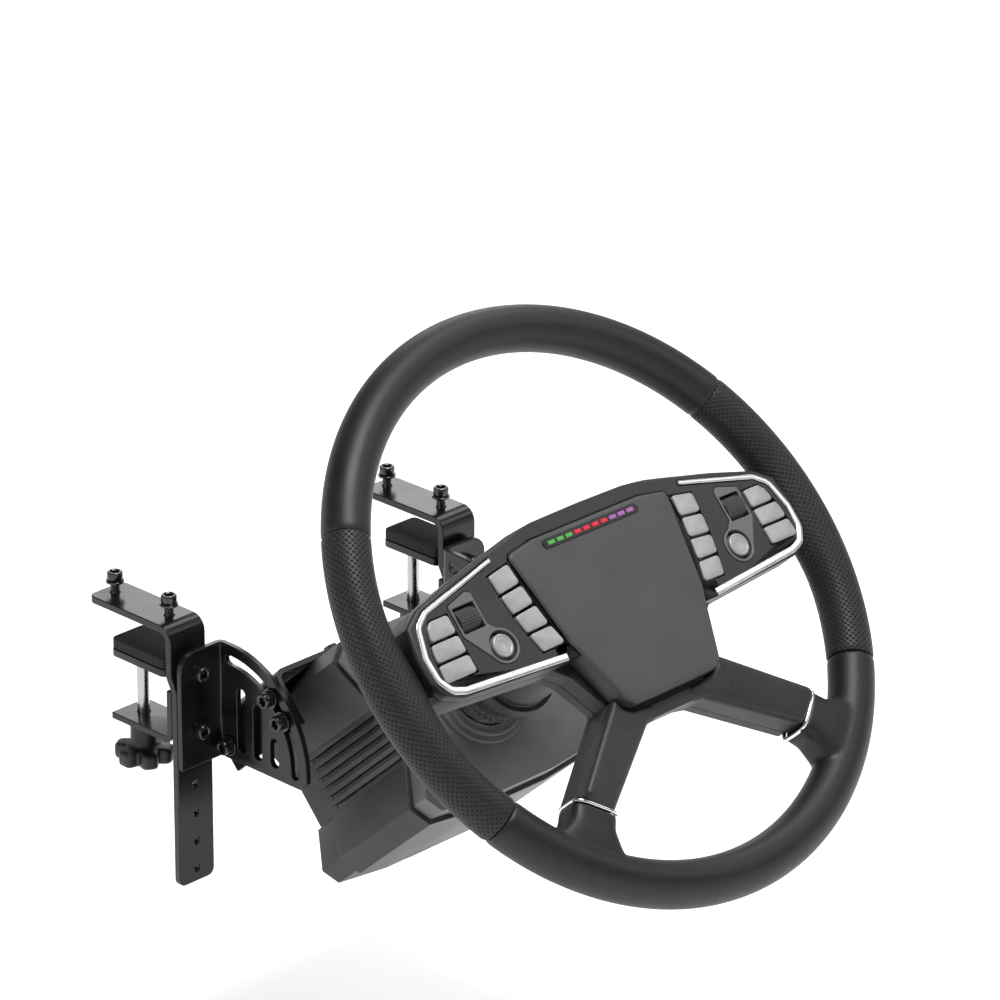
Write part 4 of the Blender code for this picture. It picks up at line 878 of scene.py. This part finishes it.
def rim_arc(start, end, rows, columns, flare=0.0):
    """Points of a tube bent round the wheel's axis, its ends drawn in at the seams.

    At angle t round the wheel and a round the tube, the reach is R + tube cos a and the
    height is tube sin a, and the tube shrinks by a bell curve of the distance to its ends.
    A flare draws the inner side inwards, most at the arc's middle.
    """
    t = np.linspace(start, end, rows)[:, None]
    a = np.linspace(0, 2 * math.pi, columns, endpoint=False)[None, :]
    near = np.minimum(t - start, end - t) * RIM_RADIUS
    tube = RIM_TUBE - SEAM_DEPTH * np.exp(-((near / SEAM_REACH) ** 2))
    along = (t - (start + end) / 2) * RIM_RADIUS
    pull = flare * np.exp(-((along / FLARE_REACH) ** 2)) * np.maximum(0, -np.cos(a)) ** 1.5
    reach = RIM_RADIUS + tube * np.cos(a) - pull
    return np.stack([reach * np.cos(t), reach * np.sin(t), tube * np.sin(a) + 0 * t], -1)


def leather_map(mesh, rows, columns, along, around):
    """A UV map that counts holes: row / (rows - 1) times along, column / columns times around."""
    layer = mesh.uv_layers.new(name="leather")
    vertex = np.zeros(len(mesh.loops), int)
    mesh.loops.foreach_get("vertex_index", vertex)
    starts = np.zeros(len(mesh.polygons), int)
    totals = np.zeros(len(mesh.polygons), int)
    mesh.polygons.foreach_get("loop_start", starts)
    mesh.polygons.foreach_get("loop_total", totals)
    owner = np.repeat(np.arange(len(totals)), totals)
    column = (vertex % columns).astype(float)
    top = np.zeros(len(totals))
    np.maximum.at(top, owner, column)
    column[(column == 0) & (top[owner] == columns - 1)] = columns
    uv = np.column_stack([(vertex // columns) / (rows - 1) * along, column / columns * around])
    layer.data.foreach_set("uv", uv.ravel())


smooth_leather = leather("smooth_leather")
punched_leather = leather("punched_leather", True)
top_arc = rim_arc(GRIP_HALF + SEAM_HALF, math.pi - GRIP_HALF - SEAM_HALF, 181, 72)
add_piece("rim_top_leather", [skin(on_wheel(top_arc))], smooth_leather, "wheel", ["rim_top"])
GRIP_ROWS = 121
GRIP_COLUMNS = 100
holes_along = round(2 * GRIP_HALF * RIM_RADIUS / HOLE_CELL)
holes_around = round(2 * math.pi * RIM_TUBE / HOLE_CELL)
for word, side in SIDES.items():
    middle = 0.0 if side > 0 else math.pi
    start = middle - GRIP_HALF + SEAM_HALF
    end = middle + GRIP_HALF - SEAM_HALF
    grip = skin(on_wheel(rim_arc(start, end, GRIP_ROWS, GRIP_COLUMNS, FLARE)))
    piece = add_piece(f"rim_grip_leather_{word}", [grip], punched_leather, "wheel",
                      [f"rim_grip_{word}"])
    leather_map(piece.data, GRIP_ROWS, GRIP_COLUMNS, holes_along, holes_around)

SPOKE_ANGLE = math.radians(-50.0)
SHOULDERS = (                   # reach, half width and half height
    (0.1495, 0.0158, 0.0127), (0.1590, 0.0162, 0.0129), (0.1680, 0.0215, 0.0133), (0.1760, 0.0280, 0.0130),
)
VOXEL = 0.00105
SMOOTHING = 14


def spoke_loop(reach, width, height, count, squareness=0.5):
    """Rows of points round the right lower spoke: superellipses that stand across it.

    At angle a the point lies width |cos a|^squareness to the side and height
    |sin a|^squareness up, each with the sign of its cosine or sine.
    """
    angle = np.linspace(0, 2 * math.pi, count, endpoint=False)
    side = np.sign(np.cos(angle)) * np.abs(np.cos(angle)) ** squareness
    rise = np.sign(np.sin(angle)) * np.abs(np.sin(angle)) ** squareness
    along = np.array((math.cos(SPOKE_ANGLE), math.sin(SPOKE_ANGLE)))
    flank = np.array((-along[1], along[0]))
    shape = reach[:, None, None] * along + (width[:, None] * side)[..., None] * flank
    return np.concatenate([shape, (height[:, None] * rise)[..., None]], -1)


table = np.array(SHOULDERS)
reach = np.linspace(table[0, 0], table[-1, 0], 16)
width, height = (np.interp(reach, table[:, 0], table[:, k]) for k in (1, 2))
flare_right = spoke_loop(reach, width, height, 40)
low_arc = rim_arc(math.pi + GRIP_HALF + SEAM_HALF, 2 * math.pi - GRIP_HALF - SEAM_HALF, 141, 56)
shells = [skin(on_wheel(grid)) for grid in (low_arc, flare_right, flare_right * (-1, 1, 1))]
lower = bpy.data.objects.new("rim_low_work", shell_mesh("rim_low_work", shells))
bpy.context.scene.collection.objects.link(lower)
fuse = lower.modifiers.new("fuse", "REMESH")
fuse.mode = "VOXEL"
fuse.voxel_size = VOXEL
relax = lower.modifiers.new("relax", "SMOOTH")
relax.factor = 0.5
relax.iterations = SMOOTHING
bpy.context.view_layer.update()
mesh = bpy.data.meshes.new_from_object(lower.evaluated_get(bpy.context.evaluated_depsgraph_get()))
mesh.name = "rim_bottom_leather"
mesh.shade_smooth()
bpy.data.objects.remove(lower)
link_piece("rim_bottom_leather", mesh, smooth_leather, "wheel", ["rim_bottom"])

# ======== bright rings round the lower spokes
# A 2 mm band of satin chrome closes the joint between each spoke's cover and the leather.
RING_AT = 0.1483
RING_HALF = 0.0011
RING_WIDTH = 0.0159
RING_HEIGHT = 0.0130


def satin_chrome(name, rough):
    """Bright satin chrome with a faint haze and hairline marks."""
    return clouded(name, (0.0005, 2.0), (0.01, 3.0), (0.82, 0.82, 0.83), (0.92, 0.92, 0.93), (0.0, 0.3),
                   rough, 0.00001, 1.0)


chrome = satin_chrome("satin_chrome", (0.11, 0.24))
belt = np.array([(-1.0, -0.0012), (-1.0, 0.0), (-0.75, 0.00035), (0.0, 0.0005), (0.75, 0.00035),
                 (1.0, 0.0), (1.0, -0.0012)])
band = spoke_loop(RING_AT + RING_HALF * belt[:, 0], RING_WIDTH + belt[:, 1], RING_HEIGHT + belt[:, 1], 96)
for word, side in SIDES.items():
    ring = skin(on_wheel(band * (side, 1, 1)), along=True)
    add_piece(f"spoke_ring_{word}", [ring], chrome, "wheel", crease=60)

# ======== centre pad and rev light bar
# A moulded pad in soft-touch grey fills the middle of the wheel. A smoked strip near its
# top edge covers ten small lights: three green, four red and three violet.
PAD_TOP = 0.0207
PAD_FOOT = 0.0063
PAD_HALF = ((0.048, 0.0495), (0.0685, 0.0462), (0.0705, 0.0435), (0.0595, -0.018), (0.0562, -0.026),
            (0.0425, -0.063), (0.0360, -0.0678))
PAD_CORNER = 0.006
PAD_FILLET = 0.0022
PAD_CROWN = 0.0006
LIGHT_RISE = 0.043
LIGHT_HALF = (0.042, 0.0032)
LIGHT_PITCH = 0.00775
SEGMENT_HALF = (0.0029, 0.00125)
LIGHT_COLOURS = ((0.06, 0.34, 0.05),) * 3 + ((0.62, 0.012, 0.03),) * 4 + ((0.34, 0.10, 0.36),) * 3


def panel_grey(name, dark, light):
    """Soft-touch grey over moulded plastic: a sandy grain and a dull, slightly clouded sheen."""
    return clouded(name, (0.00055, 3.0, 0.65), (0.03, 3.0), dark, light, (0.6, 0.5), (0.38, 0.52), 0.00012,
                   steep=True)


def moulded(outline, foot, top, fillet, crown=0.0, steps=5, dome=7):
    """Rows of a moulded piece: its wall, a quarter-round edge, and a face with a crown.

    On the quarter round the outline goes in by fillet (1 - cos a) while the height falls
    short of the top by fillet (1 - sin a), or less where the wall is low; beyond it each row
    is scaled towards the middle and lifted by crown (1 - scale squared). top is a height or
    a function of u and v.
    """
    level = top if callable(top) else (lambda u, v: np.full(u.shape, top))
    fall = np.minimum(fillet, 0.9 * (level(*outline.T) - foot))
    rows = [np.column_stack([outline, np.full(len(outline), foot)])]
    rows.append(np.column_stack([outline, level(*outline.T) - fall]))
    for angle in np.linspace(0, math.pi / 2, steps + 1)[1:]:
        ring = inset(outline, fillet * (1 - math.cos(angle)))
        rows.append(np.column_stack([ring, level(*ring.T) - fall * (1 - math.sin(angle))]))
    ring = inset(outline, fillet)
    middle = ring.mean(0)
    for scale in np.linspace(1, 0.08, dome)[1:]:
        inner = middle + (ring - middle) * scale
        rows.append(np.column_stack([inner, level(*inner.T) + crown * (1 - scale ** 2)]))
    return np.stack(rows)


def both(half):
    """A closed outline from its right half, mirrored in the middle line."""
    half = np.array(half, float)
    return np.vstack([half, half[::-1] * (-1, 1)])


pad_grey = panel_grey("pad_soft_grey", (0.058, 0.059, 0.059), (0.082, 0.083, 0.083))
pad = moulded(rounded(both(PAD_HALF), PAD_CORNER), PAD_FOOT, PAD_TOP, PAD_FILLET, PAD_CROWN)
add_piece("centre_pad_moulded", [skin(on_wheel(pad))], pad_grey, "wheel", ["centre_pad"])

smoked = Finish("smoked_lens", (0.010, 0.010, 0.011), 0.18)
smoked.surface.inputs["Specular IOR Level"].default_value = 0.25
haze = smoked.noise(0.004, 2.0)
smoked.colour(haze, (0.008, 0.008, 0.009), (0.014, 0.014, 0.016))
smoked.sheen(haze, 0.3, 0.7, 0.15, 0.28)
smoked.relief(haze, 0.00003)
crown_at = PAD_TOP + PAD_CROWN
pill = rounded(box(*LIGHT_HALF) + (0, LIGHT_RISE), LIGHT_HALF[1], 10)
lens = moulded(pill, PAD_TOP - 0.002, crown_at + 0.0001, 0.0004)
add_piece("rev_light_lens", [skin(on_wheel(lens))], smoked.material, "wheel", ["rev_light_bar"])

lit = Finish("lit_segments", (0.1, 0.1, 0.1), 0.3)
tint = lit.node("Attribute", {"attribute_name": "glow"}, out="Color")
lit.set("Base Color", tint)
lit.set("Emission Color", tint)
lit.surface.inputs["Emission Strength"].default_value = 0.3
lit.relief(lit.noise(0.0008), 0.00003)
shells = []
for index in range(len(LIGHT_COLOURS)):
    middle = ((index - (len(LIGHT_COLOURS) - 1) / 2) * LIGHT_PITCH, LIGHT_RISE)
    segment = rounded(box(*SEGMENT_HALF) + middle, 0.0005, 3)
    shape = moulded(segment, PAD_TOP - 0.001, crown_at + 0.00022, 0.00008, 0.0, 2, 2)
    shells.append(skin(on_wheel(shape)))
lights = add_piece("rev_lights", shells, lit.material, "wheel").data
colours = np.repeat(np.array(LIGHT_COLOURS), len(lights.vertices) // len(LIGHT_COLOURS), 0)
glow = lights.attributes.new("glow", "FLOAT_COLOR", "POINT")
glow.data.foreach_set("color", np.column_stack([colours, np.ones(len(colours))]).ravel())

# ======== crossbar shell, its bright trim and the lower spoke cover
# Moulded grey panels clip on to the frame on each side of the pad and down both lower
# spokes. A satin chrome line runs round the outer end of the crossbar.
FACE_HEIGHT = 0.0190
FACE_BREAK = 0.072
FACE_SLOPE = 0.045
TRIM_PATH = ((0.084, 0.0475), (0.146, 0.0335), (0.1558, 0.027), (0.1617, 0.008), (0.1612, -0.007),
             (0.1555, -0.0158), (0.146, -0.0190), (0.0668, -0.0250))
TRIM_WIDTH = (0.0026, 0.0046)   # on its upper and on its lower part
TRIM_SHARES = (0.15, 0.55)      # of its length, where the upper part ends and the lower begins
TRIM_BEND = 0.009


def face(u, _v=0.0):
    """The height of the crossbar's face: it slopes back from beside the pad to its ends."""
    return FACE_HEIGHT - FACE_SLOPE * (np.abs(u) - FACE_BREAK)


shell_grey = panel_grey("panel_soft_grey", (0.020, 0.020, 0.020), (0.036, 0.036, 0.036))
OUTER_LINE = (
    (0.0, 0.0600), (0.040, 0.0595), (0.062, 0.0575), (0.115, 0.0465), (0.150, 0.0375), (0.163, 0.0290),
    (0.167, 0.0100), (0.1665, -0.0060), (0.160, -0.0170), (0.148, -0.0225),
)
OUTER_FILLET = 0.0024


def on_outer_edge(point):
    """True on the face's outer edge: near a side of the outer line, and level with the face."""
    u, v, height = (np.array(point) - HUB) @ np.column_stack([(1.0, 0.0, 0.0), UP_FACE, OUT_FACE])
    line = np.array(OUTER_LINE)
    ahead = unit(np.diff(line, axis=0))
    beyond = (abs(u) - line[:-1, 0]) * -ahead[:, 1] + (v - line[:-1, 1]) * ahead[:, 0]
    return beyond.max() > -0.0012 and height > face(u) - 0.0006


dressed("crossbar_shell", shell_grey, 0.0004, 2, None, on_outer_edge, OUTER_FILLET)


def carried(path, half_width, profile, height):
    """A profile of (across, up) carried along a flat path, its height following the face."""
    ahead = unit(np.gradient(path, axis=0))
    side = np.stack([-ahead[:, 1], ahead[:, 0]], -1)
    across = path[:, None] + side[:, None] * (half_width * profile[None, :, :1])
    up = height(path[:, 0])[:, None] + profile[None, :, 1] + 0 * across[..., 0]
    return np.concatenate([across, up[..., None]], -1)


def smooth_line(corners, radius, steps):
    """An open line whose inner corners are bends.

    At share t of a bend the point is first (1 - t)^2 + corner 2 t (1 - t) + last t^2.
    """
    corners = np.array(corners, float)
    here = corners[1:-1]
    back = corners[:-2] - here
    ahead = corners[2:] - here
    _half, reach = corner_reach(back, ahead, radius)
    share = np.linspace(0, 1, steps + 1)[None, :, None]
    first = (here + unit(back) * reach[:, None])[:, None]
    last = (here + unit(ahead) * reach[:, None])[:, None]
    bends = first * (1 - share) ** 2 + 2 * here[:, None] * share * (1 - share) + last * share ** 2
    return np.vstack([corners[:1], bends.reshape(-1, 2), corners[-1:]])


trim_satin = satin_chrome("trim_satin_chrome", (0.22, 0.35))
trim_section = np.array([
    (-1.0, -0.003), (-1.0, 0.0006), (-0.93, 0.0009), (-0.8, 0.001), (0.0, 0.0011), (0.8, 0.001),
    (0.93, 0.0009), (1.0, 0.0006), (1.0, -0.003),
])
line = smooth_line(TRIM_PATH, TRIM_BEND, 10)
walked = np.append(0, np.cumsum(np.linalg.norm(np.diff(line, axis=0), axis=1)))
widths = np.interp(walked / walked[-1], TRIM_SHARES, TRIM_WIDTH)
bar = carried(line, widths[:, None, None] / 2, trim_section, face)
for word, side in SIDES.items():
    trim = skin(on_wheel(bar * (side, 1, 1)))
    add_piece(f"trim_{word}_polished", [trim], trim_satin, "wheel", [f"trim_{word}"], 60)

SPOKE_COVER = ((0.0453, -0.0585), (0.1045, -0.1045), (0.0865, -0.1213), (0.026, -0.0807), (0.014, -0.0790),
               (0.014, -0.0703), (0.0360, -0.0688), (0.0431, -0.0640))
SPOKE_CORNER = 0.0052
SPOKE_FILLET = 0.0042
BRIDGE = ((-0.020, -0.0790), (0.020, -0.0790), (0.020, -0.0703), (-0.020, -0.0703))
BRIDGE_TOP = 0.0096
SPOKE_END = (0.1035, -0.105)
SPOKE_FACE = 0.0173             # the face's height at that end
SPOKE_SLOPE = 0.13


def spoke_face(u, v):
    """The height of the spoke cover's face: it rises with |u| + v from its value at the end."""
    return SPOKE_FACE + SPOKE_SLOPE * (np.abs(u) - SPOKE_END[0] + v - SPOKE_END[1])


shells = [skin(on_wheel(moulded(rounded(BRIDGE, 0.0015, 4), PAD_FOOT, BRIDGE_TOP, 0.0012)))]
for side in SIDES.values():
    outline = rounded(np.array(SPOKE_COVER) * (side, 1), SPOKE_CORNER, 8)
    shells.append(skin(on_wheel(moulded(outline, PAD_FOOT, spoke_face, SPOKE_FILLET, 0.0004, 7))))
add_piece("lower_spoke_cover_moulded", shells, shell_grey, "wheel", ["lower_spoke_cover"], 50)

# ======== push buttons
# Fourteen moulded caps, painted silver grey, in wells in the crossbar: a column of four
# beside the pad and three stepped ones at the outer end, on each side.
NEAR = ((0.0722, 0.0425), (0.0706, 0.027), (0.0686, 0.0125), (0.0656, -0.0026), (0.0612, -0.017))
FAR = ((0.0918, 0.0393), (0.0906, 0.025), (0.0887, 0.0107), (0.0858, -0.0028), (0.0815, -0.0173))
OUTER_CELLS = (
    ((0.131, 0.0283), (0.1465, 0.0283), (0.1508, 0.0245), (0.1541, 0.0145), (0.131, 0.0145)),
    ((0.131, 0.0145), (0.1541, 0.0145), (0.1556, 0.0095), (0.1566, 0.0015), (0.131, 0.0015)),
    ((0.131, 0.0015), (0.1566, 0.0015), (0.1578, -0.009), (0.1555, -0.0118), (0.131, -0.0118)),
)
BUTTON_GAP = 0.0009
BUTTON_CORNER = 0.0032
BUTTON_PROUD = 0.0009
BUTTON_FOOT = 0.0079
BUTTON_FILLET = 0.0008
BUTTON_CROWN = 0.00035

# Silver-grey paint on plastic: fine flakes, a thin clear coat, and a little wear.
silver = clouded("button_silver", (0.00025, 2.0), (0.006, 2.0), (0.37, 0.375, 0.38), (0.46, 0.465, 0.47),
                 (0.6, 1.0), (0.28, 0.40), 0.00002, 0.25, True)
CELLS = {"inner": list(zip(NEAR[:-1], FAR[:-1], FAR[1:], NEAR[1:])), "outer": OUTER_CELLS}


def cap_level(u, v):
    """The height of the caps' faces, which follow the crossbar's."""
    return face(u, v) + BUTTON_PROUD


for word, side in SIDES.items():
    for column, cells in CELLS.items():
        for number, cell in enumerate(cells, 1):
            outline = inset(rounded(np.array(cell) * (side, 1), BUTTON_CORNER, 6), BUTTON_GAP)
            cap = moulded(outline, BUTTON_FOOT, cap_level, BUTTON_FILLET, BUTTON_CROWN, 5, 6)
            name = f"button_{column}_{word}_{number}"
            add_piece(name + "_cap", [skin(on_wheel(cap))], silver, name, [name])

# ======== control bezels, rollers and dials
# On each side a dark grey plate frames a black ribbed roller and a small rotary dial,
# whose painted cap has a dished top and a fine groove round it.
WINDOW_U = (0.110, 0.127)
WINDOW_V = (0.012, 0.029)
ROLLER_RADIUS = 0.0081
ROLLER_HEIGHT = 0.0110
ROLLER_HALF = 0.0081
ROLLER_RIBS = 30
ROLLER_VALLEY = 0.07
DIAL = (0.1055, -0.003)
DIAL_FLOOR = 0.0083
DIAL_TOP = 0.0184

# Satin grey paint over plastic, a shade darker than the buttons, and black rubber with a tooth.
bezel_grey = clouded("bezel_grey", (0.0004, 2.0), (0.008, 2.0), (0.14, 0.14, 0.142), (0.18, 0.18, 0.182),
                     (0.5, 1.0), (0.36, 0.48), 0.00003, 0.3)
roller_black = clouded("roller_black", (0.0004, 3.0), (0.02,), (0.030, 0.030, 0.030),
                       (0.055, 0.055, 0.055), (1.0, 1.0), (0.26, 0.42), 0.00004)
across_roller = np.linspace(-1, 1, 15)
barrel = [(ROLLER_RADIUS * (1 - 0.05 * abs(s) ** 6), ROLLER_HALF * s) for s in across_roller]
hub = ROLLER_RADIUS * 0.55
roller_profile = [(hub, -ROLLER_HALF), *barrel, (hub, ROLLER_HALF)]


def ribs(angle, row, _height):
    """Ribs along the roller, with narrow valleys: the radius falls by (half + half cos)^2."""
    inner = (row >= 2) & (row <= len(roller_profile) - 3)
    valley = (0.5 + 0.5 * np.cos(ROLLER_RIBS * angle)) ** 2
    return np.where(inner, 1 - ROLLER_VALLEY * valley, 1.0)


dial_profile = [
    (0.0092, DIAL_FLOOR + 0.0003), (0.0095, DIAL_FLOOR + 0.0006), (0.0095, DIAL_FLOOR + 0.0022),
    (0.0092, DIAL_FLOOR + 0.0025), (0.0078, DIAL_FLOOR + 0.0027), (0.0076, DIAL_FLOOR + 0.003),
    (0.0076, DIAL_TOP - 0.0012), (0.00745, DIAL_TOP - 0.0006), (0.0071, DIAL_TOP - 0.0002),
    (0.0066, DIAL_TOP), (0.0058, DIAL_TOP), (0.0055, DIAL_TOP - 0.0003), (0.0052, DIAL_TOP - 0.0003),
    (0.0049, DIAL_TOP - 0.0001), (0.0040, DIAL_TOP - 0.0003), (0.0020, DIAL_TOP - 0.00055),
    (0.0004, DIAL_TOP - 0.0006),
]
for word, side in SIDES.items():
    dressed(f"control_bezel_{word}", bezel_grey, 0.0005, 3)
    middle = on_wheel((side * sum(WINDOW_U) / 2, sum(WINDOW_V) / 2, ROLLER_HEIGHT))
    roller = skin(seat(lathe(roller_profile, 264, ribs), middle, (1, 0, 0), UP_FACE))
    name = f"roller_{word}"
    add_piece(name + "_knurled", [roller], roller_black, name, [name], 60)
    dial = skin(on_wheel(lathe(dial_profile, 72) + (side * DIAL[0], DIAL[1], 0)))
    name = f"dial_{word}"
    add_piece(name + "_cap", [dial], silver, name, [name], 50)
